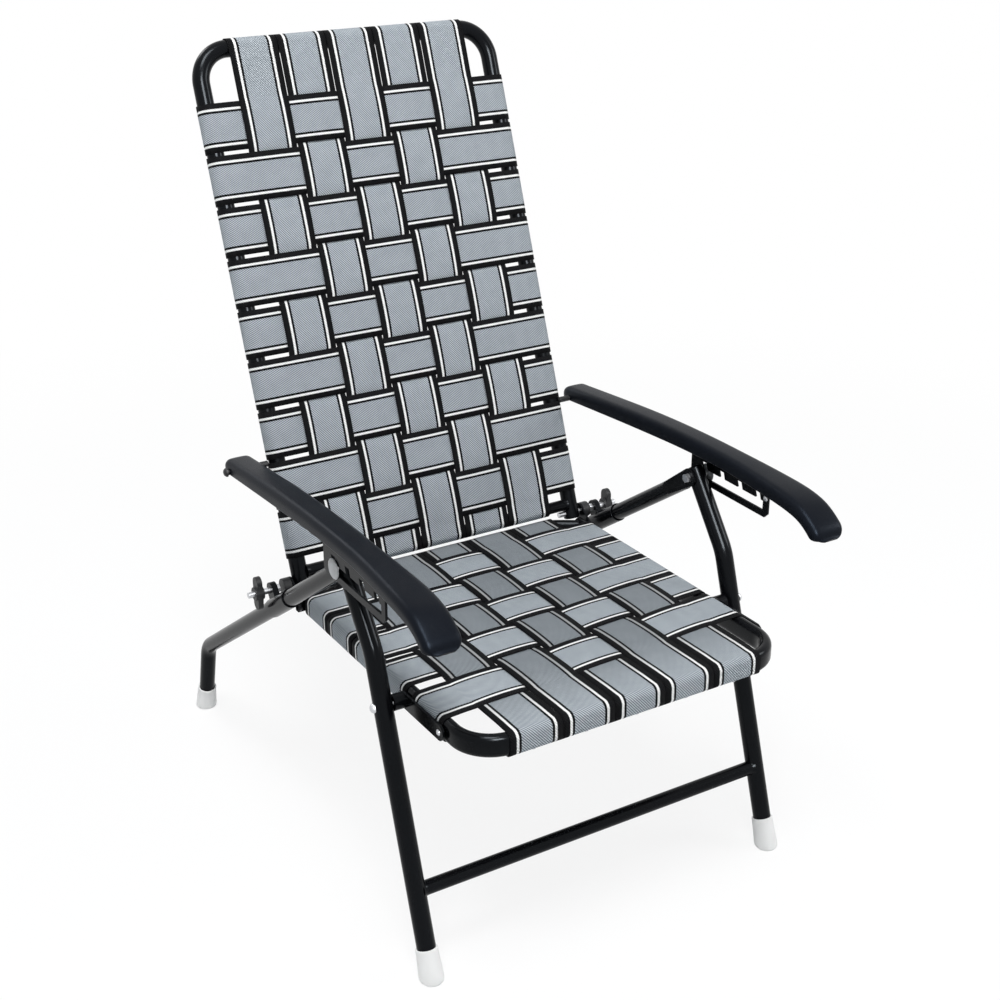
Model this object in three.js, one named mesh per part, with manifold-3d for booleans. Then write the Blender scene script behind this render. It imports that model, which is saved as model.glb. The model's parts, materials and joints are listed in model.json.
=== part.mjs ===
// Folding webbed lawn chair: bent steel tube, woven webbing, and armrests on notched racks.
// Millimetres, +Z up. The chair faces -Y. Left and right are as seen from the front.
import * as THREE from 'three';
import { mergeVertices } from 'three/addons/utils/BufferGeometryUtils.js';
import Module from 'manifold-3d';

const wasm = await Module();
wasm.setup();
const radians = THREE.MathUtils.degToRad;

// Fits and stock
const GAP = 0.3;
const TUBE_R = 11;
const FRONT_BAR_R = 9;
const REAR_BAR_R = 7;
const BACK_BAR_R = 8;
const RAIL_W = 15;
const RAIL_H = 28;
const PLATE_T = 3;
const BOLT_R = 4;
const BOLT_HEAD_R = 6;
const BOLT_HEAD_T = 5;

// Front legs: heights above the floor, tilts from the vertical
const LEG_SPACING = 500;
const LEG_TILT = radians(18.2);
const SEAT_PIVOT_HEIGHT = 317;
const LEG_BEND_HEIGHT = 378;
const LEG_BEND_R = 70;
const LEG_TOP_TILT = radians(36.8);
const LEG_PIVOT_HEIGHT = 460;
const LEG_TOP_OVERRUN = 12;
const FRONT_BAR_HEIGHT = 104;

// Rear legs: the tube starts behind the front leg, and a tongue reaches the pivot
const REAR_LEG_INSET = 1;
const HINGE_OVER_LEG = 22;
const REAR_TUBE_START = 26;
const TONGUE_LENGTH = 54;
const TONGUE_R = 12;
const REAR_BEND_HEIGHT = 118;
const REAR_BEND_R = 45;
const REAR_FOOT_TILT = radians(15.6);

// Foot caps
const FOOT_H = 40;
const FOOT_BASE_R = 15;
const FOOT_RIM_R = 13;
const FOOT_FLOOR = 8;

// Seat, measured along its plane from the seat pivot
const SEAT_SLOPE = radians(1.2);
const SEAT_REACH = 310;
const HINGE_RISE = 10;
const SEAT_FRONT_REACH = 144;
const SEAT_INSET = 38;
const SEAT_CORNER_R = 46;
const REAR_BAR_INSET = 5;
const REAR_BAR_STRAIGHT = 352;
const REAR_BAR_RETURN = 24;
const REAR_BAR_BEND_R = 20;
const RAIL_END_INSET = 14;
const EAR_EYE_R = 11;
const EAR_ROOT_R = 12;
const EAR_WEB_DEPTH = 8;
const BUSH_R = 10;
const BRACKET_REACH = 84;
const BRACKET_R = 10;
const RIVET_R = 4;
const RIVET_T = 2;

// Back, measured up its plane from the back hinge
const BACK_LEAN = radians(20.5);
const BACK_INSET = 41;
const BACK_HEIGHT = 682;
const BACK_CORNER_R = 42;
const BACK_TAIL = 8;
const BACK_BAR_UP = 13;
const HINGE_BOLT_END = 10;
const HINGE_SPACER_R = 11;

// Hinge sliders, lock bolts and wing knobs
const SLEEVE_WALL = 1.4;
const SLEEVE_ABOVE = 57;
const SLEEVE_BELOW = 15;
const LUG_R = 10;
const LUG_T = 8;
const KNOB_HUB_R = 9;
const KNOB_HUB_T = 12;
const WING_REACH = 15;
const WING_R = 8;
const WING_T = 7;
const LOCK_BOLT_TAIL = 8;

// Armrests: reaches and heights of the top line from the leg pivot, and depths below it
const ARMREST_PIVOT_UP = 159.5;
const ARMREST_W = 40;
const ARMREST_OFFSET = 7;
const ARMREST_ROUND = 5;
const ARMREST_WALL = 5;
const ARMREST_END_BLOCK = 50;
const ARMREST_END_OVERRUN = 18;
const ARMREST_END_RISE = 11;
const ARMREST_END_DEPTH = 18;
const ARMREST_REAR_REACH = 124;
const ARMREST_REAR_UP = 44;
const ARMREST_REAR_DEPTH = 24;
const ARMREST_CREST_REACH = 8;
const ARMREST_CREST_UP = 50;
const ARMREST_CREST_DEPTH = 21;
const ARMREST_FRONT_REACH = 127;
const ARMREST_FRONT_UP = 49;
const ARMREST_FRONT_DEPTH = 20;
const ARMREST_SHOULDER_REACH = 205;
const ARMREST_SHOULDER_UP = 41;
const ARMREST_SHOULDER_DEPTH = 17;
const ARMREST_TIP_REACH = 250;
const ARMREST_TIP_UP = 13;
const ARMREST_TIP_DEPTH = 12;
const ARMREST_TIP_SET_BACK = 8;
const CAP_R = 13;
const CAP_T = 4;

// Racks, measured from the leg pivot
const RACK_OFFSET = 1;
const NOTCH_COUNT = 4;
const NOTCH_PITCH = 35.5;
const NOTCH_W = 10;
const NOTCH_H = 9;
const NOTCH_SLANT = 3;
const SLOT_H = 12;
const SLOT_END = 9;
const RACK_BAR = 9;
const RACK_REAR_POST = 20;
const RACK_FRONT_POST = 10;
const RACK_CHAMFER = 6;

// Webbing: pitches and first places are measured to the middle of a strap
const WEB_W = 62;
const WEB_T = 1.2;
const WEB_FLAT_MARGIN = 0.8;
const WEB_TURN_TAIL = radians(120);
const BACK_LONG_PITCH = 67.8;
const BACK_LONG_MARGIN = 73.4;
const BACK_CROSS_PITCH = 65;
const BACK_CROSS_FIRST = 64;
const BACK_CROSS_TOP_MARGIN = 97;
const SEAT_LONG_PITCH = 69.5;
const SEAT_LONG_MARGIN = 73;
const SEAT_CROSS_PITCH = 66.8;
const SEAT_CROSS_REAR_MARGIN = 42;
const PIVOT_TO_FRONT_STRAP = 7.8;
const PIVOT_TO_REAR_STRAP = 9.3;

// Side view points are Vector2(depth, height)
const side = (depth, height) => new THREE.Vector2(depth, height);
const fromVertical = (tilt) => side(Math.sin(tilt), Math.cos(tilt));

const legX = LEG_SPACING / 2;
const rearLegX = legX - REAR_LEG_INSET;
const seatPivot = side(SEAT_PIVOT_HEIGHT * Math.tan(LEG_TILT), SEAT_PIVOT_HEIGHT);
const legBend = side(LEG_BEND_HEIGHT * Math.tan(LEG_TILT), LEG_BEND_HEIGHT);
const legTopDirection = fromVertical(LEG_TOP_TILT);
const legPivotRun = (LEG_PIVOT_HEIGHT - LEG_BEND_HEIGHT) / legTopDirection.y;
const legPivot = legBend.clone().addScaledVector(legTopDirection, legPivotRun);
const legTop = legPivot.clone().addScaledVector(legTopDirection, LEG_TOP_OVERRUN);
const backHinge = seatPivot.clone().add(side(SEAT_REACH, HINGE_RISE));
const rearBarReach = SEAT_REACH - REAR_BAR_INSET;
const backDirection = fromVertical(BACK_LEAN);
const armrestPivot = backHinge.clone().addScaledVector(backDirection, ARMREST_PIVOT_UP);

// The rear leg runs from the leg pivot and passes under the back hinge
const pivotToHinge = backHinge.clone().sub(legPivot);
const rearLegAngle = pivotToHinge.angle() - Math.asin(HINGE_OVER_LEG / pivotToHinge.length());
const rearLegDirection = side(Math.cos(rearLegAngle), Math.sin(rearLegAngle));
const alongRearLeg = (distance) => legPivot.clone().addScaledVector(rearLegDirection, distance);
const hingeRun = Math.sqrt(pivotToHinge.lengthSq() - HINGE_OVER_LEG ** 2);
const rearBend = alongRearLeg((REAR_BEND_HEIGHT - legPivot.y) / rearLegDirection.y);
const rearFoot = side(rearBend.x + REAR_BEND_HEIGHT * Math.tan(REAR_FOOT_TILT), 0);

// Lateral planes, from the middle outwards
const railX = legX - SEAT_INSET;
const backX = legX - BACK_INSET;
const outerPlateX = Math.max(railX + RAIL_W / 2, backX + TUBE_R) + 2 * GAP + WEB_T;
const rackX = legX + TUBE_R + RACK_OFFSET;
const sleeveR = TUBE_R + GAP + SLEEVE_WALL;
const armrestX = legX + ARMREST_OFFSET;

const seatFrame = new THREE.Matrix4().makeRotationX(-SEAT_SLOPE).setPosition(0, seatPivot.x, seatPivot.y);
const backFrame = new THREE.Matrix4().makeRotationX(Math.PI / 2 - BACK_LEAN);
backFrame.setPosition(0, backHinge.x, backHinge.y);

// A path through given stations, so that a swept tube has sections only where it bends
class StationPath extends THREE.Curve {
  constructor(stations) {
    super();
    this.stations = stations;
  }

  indexAt(u) {
    return Math.round(u * (this.stations.length - 1));
  }

  getPointAt(u) {
    return this.stations[this.indexAt(u)].clone();
  }

  getTangentAt(u) {
    const i = this.indexAt(u);
    const last = this.stations.length - 1;
    const here = this.stations[i];
    const tangent = new THREE.Vector3();
    if (i > 0) tangent.add(here.clone().sub(this.stations[i - 1]).normalize());
    if (i < last) tangent.add(this.stations[i + 1].clone().sub(here).normalize());
    return tangent.normalize();
  }
}

// Stations along straight runs between corners, with an arc of bendR at each inner corner
function bentPath(corners, bendR, steps = 6) {
  const stations = [corners[0]];
  for (let i = 1; i < corners.length - 1; i += 1) {
    const inward = corners[i].clone().sub(corners[i - 1]).normalize();
    const outward = corners[i + 1].clone().sub(corners[i]).normalize();
    const turn = inward.angleTo(outward);
    const normal = outward.clone().addScaledVector(inward, -Math.cos(turn)).normalize();
    const start = corners[i].clone().addScaledVector(inward, -bendR * Math.tan(turn / 2));
    for (let k = 0; k <= steps; k += 1) {
      const angle = (turn * k) / steps;
      const station = start.clone().addScaledVector(inward, bendR * Math.sin(angle));
      stations.push(station.addScaledVector(normal, bendR * (1 - Math.cos(angle))));
    }
  }
  stations.push(corners[corners.length - 1]);
  return stations;
}

function roundSection(radius, sides = 16) {
  const points = [];
  for (let k = 0; k < sides; k += 1) {
    const angle = (2 * Math.PI * k) / sides;
    points.push(new THREE.Vector2(radius * Math.cos(angle), radius * Math.sin(angle)));
  }
  return new THREE.Shape(points);
}

// Flat oval: straight long sides and half round ends; height lies along the section's x
function ovalSection(height, width) {
  const shape = new THREE.Shape();
  const r = width / 2;
  const straight = height / 2 - r;
  shape.absarc(straight, 0, r, -Math.PI / 2, Math.PI / 2, false);
  shape.absarc(-straight, 0, r, Math.PI / 2, (3 * Math.PI) / 2, false);
  return shape;
}

function sweep(section, stations, curveSegments = 8) {
  const extrudePath = new StationPath(stations);
  return new THREE.ExtrudeGeometry(section, { steps: stations.length - 1, extrudePath, curveSegments });
}

const tube = (stations, radius) => sweep(roundSection(radius), stations);

// A flat plate drawn in side view, from x0 outwards to x1
const sideToWorld = new THREE.Matrix4().makeBasis(
  new THREE.Vector3(0, 1, 0),
  new THREE.Vector3(0, 0, 1),
  new THREE.Vector3(1, 0, 0),
);
function plate(shape, x0, x1, curveSegments = 6) {
  const geometry = new THREE.ExtrudeGeometry(shape, { depth: x1 - x0, bevelEnabled: false, curveSegments });
  return geometry.applyMatrix4(sideToWorld).translate(x0, 0, 0);
}

// A link outline: two round ends and the straight lines that touch both
function linkShape(p, radiusP, q, radiusQ) {
  const line = q.clone().sub(p);
  const heading = Math.atan2(line.y, line.x);
  const spread = Math.acos((radiusP - radiusQ) / line.length());
  const shape = new THREE.Shape();
  shape.absarc(p.x, p.y, radiusP, heading + spread, heading + 2 * Math.PI - spread, false);
  shape.absarc(q.x, q.y, radiusQ, heading - spread, heading + spread, false);
  return shape;
}

// A rod along X at a side view point
function rod(radius, at, x0, x1, sides = 16) {
  const geometry = new THREE.CylinderGeometry(radius, radius, x1 - x0, sides);
  return geometry.rotateZ(Math.PI / 2).translate((x0 + x1) / 2, at.x, at.y);
}

// A turned piece: the profile's y runs along a side view direction from a point at x
function turned(profile, x, at, direction, segments = 24) {
  const points = profile.map(([radius, along]) => new THREE.Vector2(radius, along));
  const tilt = Math.atan2(direction.y, direction.x);
  return new THREE.LatheGeometry(points, segments).rotateX(tilt).translate(x, at.x, at.y);
}

// A low domed head on the +X end of a rod
function dome(radius, height, at, x0) {
  const profile = [[0, 0], [radius, 0], [radius * 0.94, height * 0.4], [radius * 0.6, height * 0.85], [0, height]];
  const points = profile.map(([r, along]) => new THREE.Vector2(r, along));
  return new THREE.LatheGeometry(points, 16).rotateZ(-Math.PI / 2).translate(x0, at.x, at.y);
}

function solid(geometry) {
  const bare = geometry.index ? geometry.toNonIndexed() : geometry.clone();
  bare.deleteAttribute('normal');
  bare.deleteAttribute('uv');
  const merged = mergeVertices(bare, 1e-4);
  const triVerts = new Uint32Array(merged.index.array);
  const vertProperties = new Float32Array(merged.attributes.position.array);
  return new wasm.Manifold(new wasm.Mesh({ numProp: 3, vertProperties, triVerts }));
}

function shapeOf(manifold) {
  const mesh = manifold.getMesh();
  const geometry = new THREE.BufferGeometry();
  geometry.setAttribute('position', new THREE.BufferAttribute(new Float32Array(mesh.vertProperties), 3));
  geometry.setIndex(new THREE.BufferAttribute(new Uint32Array(mesh.triVerts), 1));
  return geometry;
}

const join = (...pieces) => shapeOf(pieces.map(solid).reduce((sum, piece) => sum.add(piece)));
const without = (rest, tool) => rest.subtract(tool);
const cut = (piece, ...tools) => shapeOf(tools.map(solid).reduce(without, solid(piece)));

// The same piece on the other side of the chair, with its faces turned out again
function mirrored(geometry) {
  const copy = geometry.index ? geometry.toNonIndexed() : geometry.clone();
  copy.scale(-1, 1, 1);
  const position = copy.attributes.position;
  const corner = new THREE.Vector3();
  const swap = new THREE.Vector3();
  for (let i = 0; i < position.count; i += 3) {
    corner.fromBufferAttribute(position, i);
    swap.fromBufferAttribute(position, i + 1);
    position.setXYZ(i, swap.x, swap.y, swap.z);
    position.setXYZ(i + 1, corner.x, corner.y, corner.z);
  }
  copy.deleteAttribute('normal');
  return copy;
}

// Finishes
const blackPaint = { color: 0x17181b, roughness: 0.35, metalness: 0.4 };
const zinc = { color: 0xb9bcc0, roughness: 0.35, metalness: 0.9 };
const blackPlastic = { color: 0x202328, roughness: 0.45, metalness: 0 };
const whitePlastic = { color: 0xf2f2ef, roughness: 0.5, metalness: 0 };
const greyWebbing = { color: 0x8f989f, roughness: 0.85, metalness: 0 };

const chair = new THREE.Group();

function add(name, geometry, finish) {
  geometry.computeVertexNormals();
  const mesh = new THREE.Mesh(geometry, new THREE.MeshStandardMaterial(finish));
  mesh.name = name;
  chair.add(mesh);
}

// Adds a piece made for the right side, and its mirror image on the left
function addPair(name, geometry, finish) {
  add(`${name}_left`, mirrored(geometry), finish);
  add(`${name}_right`, geometry, finish);
}

const atX = (x, point) => new THREE.Vector3(x, point.x, point.y);
const bore = (at, x0, x1) => rod(BOLT_R + GAP, at, x0, x1);
const boreHole = (at) => new THREE.Path().absarc(at.x, at.y, BOLT_R + GAP, 0, 2 * Math.PI, true);

// Front legs and their welded crossbar
const legDirection = fromVertical(LEG_TILT);
const frontFoot = side(0, 0);
const legEnd = frontFoot.clone().addScaledVector(legDirection, FOOT_FLOOR);
const legStations = bentPath([legEnd, legBend, legTop].map((point) => atX(legX, point)), LEG_BEND_R);
const legBores = [seatPivot, legPivot].map((at) => bore(at, legX - 2 * TUBE_R, legX + 2 * TUBE_R));
addPair('front_leg', cut(tube(legStations, TUBE_R), ...legBores), blackPaint);

const frontBarAt = side(FRONT_BAR_HEIGHT * Math.tan(LEG_TILT), FRONT_BAR_HEIGHT);
const legCope = tube(legStations, TUBE_R + GAP);
add('front_crossbar', cut(rod(FRONT_BAR_R, frontBarAt, -legX, legX), legCope, mirrored(legCope)), blackPaint);

// Rear legs: bent tube with a flat tongue on the inner side of its upper end
const rearFootDirection = rearBend.clone().sub(rearFoot).normalize();
const rearLegEnd = rearFoot.clone().addScaledVector(rearFootDirection, FOOT_FLOOR);
const rearCorners = [alongRearLeg(REAR_TUBE_START), rearBend, rearLegEnd];
const rearStations = bentPath(rearCorners.map((point) => atX(rearLegX, point)), REAR_BEND_R);
const tongueOuterX = legX - TUBE_R - GAP;
const tongueShape = linkShape(legPivot, TONGUE_R, alongRearLeg(TONGUE_LENGTH), TONGUE_R - PLATE_T);
tongueShape.holes.push(boreHole(legPivot));
const tongue = plate(tongueShape, tongueOuterX - PLATE_T, tongueOuterX);
addPair('rear_leg', join(tube(rearStations, TUBE_R), tongue), blackPaint);

// Foot caps: tapered plastic cups, cut flat on the floor
function footCap(x, at, direction) {
  const boreR = TUBE_R + GAP;
  const below = -FOOT_BASE_R;
  const flare = (FOOT_BASE_R - FOOT_RIM_R) / FOOT_H;
  const profile = [
    [0, below],
    [FOOT_BASE_R - flare * below, below],
    [FOOT_RIM_R, FOOT_H],
    [boreR, FOOT_H],
    [boreR, FOOT_FLOOR - GAP],
    [0, FOOT_FLOOR - GAP],
  ];
  const cup = turned(profile, x, at, direction);
  const floorSize = 4 * FOOT_BASE_R;
  const underFloor = new THREE.BoxGeometry(floorSize, floorSize, floorSize);
  underFloor.translate(x, at.x, at.y - floorSize / 2);
  return cut(cup, underFloor);
}
addPair('front_foot', footCap(legX, frontFoot, legDirection), whitePlastic);
addPair('rear_foot', footCap(rearLegX, rearFoot, rearFootDirection), whitePlastic);

// Leg pivot bolts: hexagon head inside, shank through the tongue, the leg and the rack's slot
const rackOuterX = rackX + PLATE_T;
const pivotHeadX = tongueOuterX - PLATE_T - GAP;
const pivotHead = rod(BOLT_HEAD_R, legPivot, pivotHeadX - BOLT_HEAD_T, pivotHeadX, 6);
const pivotShank = rod(BOLT_R, legPivot, pivotHeadX - BOLT_HEAD_T / 2, rackOuterX + GAP);
addPair('leg_pivot_bolt', join(pivotHead, pivotShank), zinc);
addPair('pin_cap', dome(CAP_R, CAP_T, legPivot, rackOuterX + 2 * GAP), zinc);

// Seat frame: a flat oval U, with a hinge ear welded to the outer side of each rear end
const railEnd = SEAT_REACH - RAIL_END_INSET;
const seatCorners = [
  new THREE.Vector3(-railX, railEnd, 0),
  new THREE.Vector3(-railX, -SEAT_FRONT_REACH, 0),
  new THREE.Vector3(railX, -SEAT_FRONT_REACH, 0),
  new THREE.Vector3(railX, railEnd, 0),
];
const seatStations = bentPath(seatCorners, SEAT_CORNER_R);
const seatTube = sweep(ovalSection(RAIL_H, RAIL_W), seatStations, 5).applyMatrix4(seatFrame);
const seatPoint = (along, up) => {
  const point = new THREE.Vector3(0, along, up).applyMatrix4(seatFrame);
  return side(point.y, point.z);
};
const earRoot = seatPoint(railEnd - EAR_ROOT_R / 2, -GAP);
const earShape = linkShape(backHinge, EAR_EYE_R, earRoot, EAR_ROOT_R);
earShape.holes.push(boreHole(backHinge));
const earOuterX = outerPlateX + PLATE_T;
const ear = plate(earShape, outerPlateX, earOuterX);
const earWeb = new THREE.BoxGeometry(earOuterX - railX, EAR_WEB_DEPTH, RAIL_H / 2);
earWeb.translate((railX + earOuterX) / 2, railEnd - EAR_WEB_DEPTH / 2, -RAIL_H / 4).applyMatrix4(seatFrame);
const seatBody = join(seatTube, ear, earWeb, mirrored(ear), mirrored(earWeb));
add('seat_frame', cut(seatBody, bore(seatPivot, -legX, legX)), blackPaint);

// Rear bar of the seat: level with the tops of the rails, with ends that turn forward to meet them
const rearBarUp = RAIL_H / 2 - REAR_BAR_R;
const rearBarCorners = [
  new THREE.Vector3(-railX, rearBarReach - REAR_BAR_RETURN, rearBarUp),
  new THREE.Vector3(-REAR_BAR_STRAIGHT / 2, rearBarReach, rearBarUp),
  new THREE.Vector3(REAR_BAR_STRAIGHT / 2, rearBarReach, rearBarUp),
  new THREE.Vector3(railX, rearBarReach - REAR_BAR_RETURN, rearBarUp),
];
const rearBar = tube(bentPath(rearBarCorners, REAR_BAR_BEND_R), REAR_BAR_R).applyMatrix4(seatFrame);
const copeSection = ovalSection(RAIL_H + 2 * GAP, RAIL_W + 2 * GAP);
const railCope = sweep(copeSection, seatStations, 5).applyMatrix4(seatFrame);
add('seat_rear_bar', cut(rearBar, railCope), blackPaint);

// Seat pivot brackets: a strip over the rail's outer face, with the bush that meets the leg
const bracketFront = seatPoint(-BRACKET_REACH, 0);
const bracketStrip = plate(linkShape(seatPivot, BUSH_R, bracketFront, BRACKET_R), outerPlateX, earOuterX);
const bush = rod(BUSH_R, seatPivot, outerPlateX, legX - TUBE_R - GAP);
const rivet = dome(RIVET_R, RIVET_T, bracketFront, earOuterX - GAP);
const bracketBore = bore(seatPivot, outerPlateX - PLATE_T, legX);
addPair('seat_bracket', cut(join(bracketStrip, bush, rivet), bracketBore), blackPaint);
const seatHeadX = legX + TUBE_R + GAP;
const seatShank = rod(BOLT_R, seatPivot, railX - RAIL_W / 2, seatHeadX + GAP);
addPair('seat_pivot_bolt', join(seatShank, dome(BOLT_HEAD_R, BOLT_HEAD_T, seatPivot, seatHeadX)), zinc);

// Back frame: an inverted U of round tube, bored for the hinge bolts
const backCorners = [
  new THREE.Vector3(-backX, -BACK_TAIL, 0),
  new THREE.Vector3(-backX, BACK_HEIGHT, 0),
  new THREE.Vector3(backX, BACK_HEIGHT, 0),
  new THREE.Vector3(backX, -BACK_TAIL, 0),
];
const backStations = bentPath(backCorners, BACK_CORNER_R, 8);
const backTube = tube(backStations, TUBE_R).applyMatrix4(backFrame);
add('back_frame', cut(backTube, bore(backHinge, -legX, legX)), blackPaint);
const backOutward = side(-backDirection.y, backDirection.x);
const backBarForward = TUBE_R - BACK_BAR_R;
const backBarAt = backHinge.clone().addScaledVector(backDirection, BACK_BAR_UP);
backBarAt.addScaledVector(backOutward, backBarForward);
const backCope = tube(backStations, TUBE_R + GAP).applyMatrix4(backFrame);
add('back_crossbar', cut(rod(BACK_BAR_R, backBarAt, -backX, backX), backCope), blackPaint);

// Hinge bolts: a plain end inside the back tube, and a round spacer outside the ear
const hingeEndX = rearLegX - sleeveR - 2 * GAP;
const hingeShank = rod(BOLT_R, backHinge, backX - TUBE_R - HINGE_BOLT_END, earOuterX + 2 * GAP);
const hingeSpacer = rod(HINGE_SPACER_R, backHinge, earOuterX + GAP, hingeEndX);
addPair('hinge_bolt', join(hingeShank, hingeSpacer), zinc);

// Hinge sliders: a sleeve on the rear leg with a lug for the lock bolt
const sleeveProfile = [
  [0, hingeRun - SLEEVE_ABOVE],
  [sleeveR, hingeRun - SLEEVE_ABOVE],
  [sleeveR, hingeRun + SLEEVE_BELOW],
  [0, hingeRun + SLEEVE_BELOW],
];
const sleeve = turned(sleeveProfile, rearLegX, legPivot, rearLegDirection);
const lugShape = linkShape(backHinge, LUG_R, alongRearLeg(hingeRun), TUBE_R);
const lug = plate(lugShape, rearLegX - LUG_T / 2, rearLegX + LUG_T / 2);
const coreEnds = [alongRearLeg(0), alongRearLeg(2 * hingeRun)];
const legCore = tube(coreEnds.map((point) => atX(rearLegX, point)), TUBE_R + GAP);
const lugBore = bore(backHinge, legX - LUG_T, legX + LUG_T);
addPair('hinge_slider', cut(join(sleeve, lug), legCore, lugBore), blackPaint);

// Lock bolts and their wing knobs
const knobX = rearLegX + sleeveR + 4 * GAP;
const lockHeadX = rearLegX - LUG_T / 2 - GAP;
const lockHead = rod(BOLT_HEAD_R, backHinge, lockHeadX - BOLT_HEAD_T, lockHeadX, 6);
const lockShank = rod(BOLT_R, backHinge, lockHeadX - GAP, knobX + KNOB_HUB_T + LOCK_BOLT_TAIL);
addPair('lock_bolt', join(lockHead, lockShank), zinc);
const wings = [1, -1].map((way) => {
  const tip = backHinge.clone().add(side(0, way * WING_REACH));
  const wingX = knobX + (KNOB_HUB_T - WING_T) / 2;
  return plate(linkShape(backHinge, WING_R - GAP, tip, WING_R), wingX, wingX + WING_T);
});
const knobHub = rod(KNOB_HUB_R, backHinge, knobX, knobX + KNOB_HUB_T);
addPair('wing_knob', cut(join(knobHub, ...wings), bore(backHinge, knobX - 1, legX + LEG_SPACING)), blackPlastic);

// Armrest outline in side view: the top line and the underside run from the rear end to the tip
const pivotBehind = armrestPivot.x - legPivot.x;
const pivotUp = armrestPivot.y - legPivot.y;
const armrestStations = [
  [pivotBehind + ARMREST_END_OVERRUN, pivotUp + ARMREST_END_RISE, ARMREST_END_DEPTH],
  [ARMREST_REAR_REACH, ARMREST_REAR_UP, ARMREST_REAR_DEPTH],
  [-ARMREST_CREST_REACH, ARMREST_CREST_UP, ARMREST_CREST_DEPTH],
  [-ARMREST_FRONT_REACH, ARMREST_FRONT_UP, ARMREST_FRONT_DEPTH],
  [-ARMREST_SHOULDER_REACH, ARMREST_SHOULDER_UP, ARMREST_SHOULDER_DEPTH],
  [-ARMREST_TIP_REACH, ARMREST_TIP_UP, ARMREST_TIP_DEPTH],
];
const fromPivot = (behind, up) => legPivot.clone().add(side(behind, up));
const tipBehind = (behind) => Math.max(behind, ARMREST_TIP_SET_BACK - ARMREST_TIP_REACH);
const topPoints = armrestStations.map(([behind, up]) => fromPivot(behind, up));
const undersidePoints = armrestStations.map(([behind, up, depth]) => fromPivot(tipBehind(behind), up - depth));
const topCurve = new THREE.SplineCurve(topPoints);
const undersideCurve = new THREE.SplineCurve(undersidePoints.reverse());
const topLine = topCurve.getPoints(14);
const undersideLine = undersideCurve.getPoints(10);
const ceilingAt = (depth) => {
  const i = topLine.findIndex((point) => point.x <= depth);
  const share = (depth - topLine[i].x) / (topLine[i - 1].x - topLine[i].x);
  return THREE.MathUtils.lerp(topLine[i].y, topLine[i - 1].y, share) - ARMREST_WALL;
};
const armrestShape = new THREE.Shape([...topLine, ...undersideLine]);
const armrestBlank = new THREE.ExtrudeGeometry(armrestShape, {
  depth: ARMREST_W - 2 * ARMREST_ROUND,
  bevelSize: ARMREST_ROUND,
  bevelThickness: ARMREST_ROUND,
  bevelOffset: -ARMREST_ROUND,
  bevelSegments: 3,
});
armrestBlank.applyMatrix4(sideToWorld).translate(armrestX - ARMREST_W / 2 + ARMREST_ROUND, 0, 0);

// The armrest is a channel, open below, with solid ends
const channelRear = armrestPivot.x - ARMREST_END_BLOCK;
const channelFront = legPivot.x - (NOTCH_COUNT + 1) * NOTCH_PITCH;
const channelTop = topLine.filter((point) => point.x < channelRear && point.x > channelFront).map((point) => point.x);
const channelDepths = [channelRear, ...channelTop, channelFront];
const channelShape = new THREE.Shape([
  ...channelDepths.map((depth) => side(depth, ceilingAt(depth))),
  side(channelFront, legPivot.y - RAIL_H),
  side(channelRear, legPivot.y - RAIL_H),
]);
const channelHalf = ARMREST_W / 2 - ARMREST_WALL;
const channel = plate(channelShape, armrestX - channelHalf, armrestX + channelHalf);
const armrestBore = bore(armrestPivot, armrestX - ARMREST_W, armrestX + ARMREST_W);
addPair('armrest', cut(armrestBlank, channel, armrestBore), blackPlastic);
const armrestOuterX = armrestX + ARMREST_W / 2 + GAP;
const armrestShank = rod(BOLT_R, armrestPivot, outerPlateX + GAP, armrestOuterX + GAP);
addPair('armrest_bolt', join(armrestShank, dome(BOLT_HEAD_R, BOLT_HEAD_T, armrestPivot, armrestOuterX)), zinc);

// Racks: a plate under each armrest with a slot and a row of slanted notches for the pivot bolt
const slotFront = legPivot.x - (NOTCH_COUNT - 1) * NOTCH_PITCH - SLOT_END;
const slotRear = legPivot.x + SLOT_END;
const slotTop = legPivot.y + SLOT_H / 2;
const slotFloor = legPivot.y - SLOT_H / 2;
const notchEdge = [];
for (let k = NOTCH_COUNT - 1; k >= 0; k -= 1) {
  const middle = legPivot.x - k * NOTCH_PITCH;
  notchEdge.push(side(middle - NOTCH_W / 2, slotTop));
  notchEdge.push(side(middle - NOTCH_W / 2 + NOTCH_SLANT, slotTop + NOTCH_H));
  notchEdge.push(side(middle + NOTCH_W / 2 + NOTCH_SLANT, slotTop + NOTCH_H));
  notchEdge.push(side(middle + NOTCH_W / 2, slotTop));
}
const slotOutline = [side(slotRear, slotFloor), side(slotFront, slotFloor), side(slotFront, slotTop), ...notchEdge];
slotOutline.push(side(slotRear, slotTop));
const rackFront = slotFront - RACK_FRONT_POST;
const rackRear = slotRear + RACK_REAR_POST;
const rackFloor = slotFloor - RACK_BAR;
const rackTopDepths = [rackRear, ...topLine.map((point) => point.x), rackFront];
const rackTop = rackTopDepths.filter((depth) => depth >= rackFront && depth <= rackRear);
const rackShape = new THREE.Shape([
  ...rackTop.map((depth) => side(depth, ceilingAt(depth) - GAP)),
  side(rackFront, rackFloor + RACK_CHAMFER),
  side(rackFront + RACK_CHAMFER, rackFloor),
  side(rackRear - RACK_CHAMFER, rackFloor),
  side(rackRear, rackFloor + RACK_CHAMFER),
]);
rackShape.holes.push(new THREE.Path(slotOutline));
addPair('armrest_rack', plate(rackShape, rackX, rackOuterX), blackPaint);

// Webbing. A panel's own frame has X across it, Y along it and Z out of its face.
// A turn is where a strap goes round a tube: its centre along the strap and in depth, its radius,
// and half of the straight part of a flat oval.
const webStep = WEB_T + GAP;
const turn = (along, depth, radius, straight) => ({ along, depth, radius: radius + GAP + WEB_T / 2, straight });
const faceLevel = (at) => at.depth + at.straight + at.radius;

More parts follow.
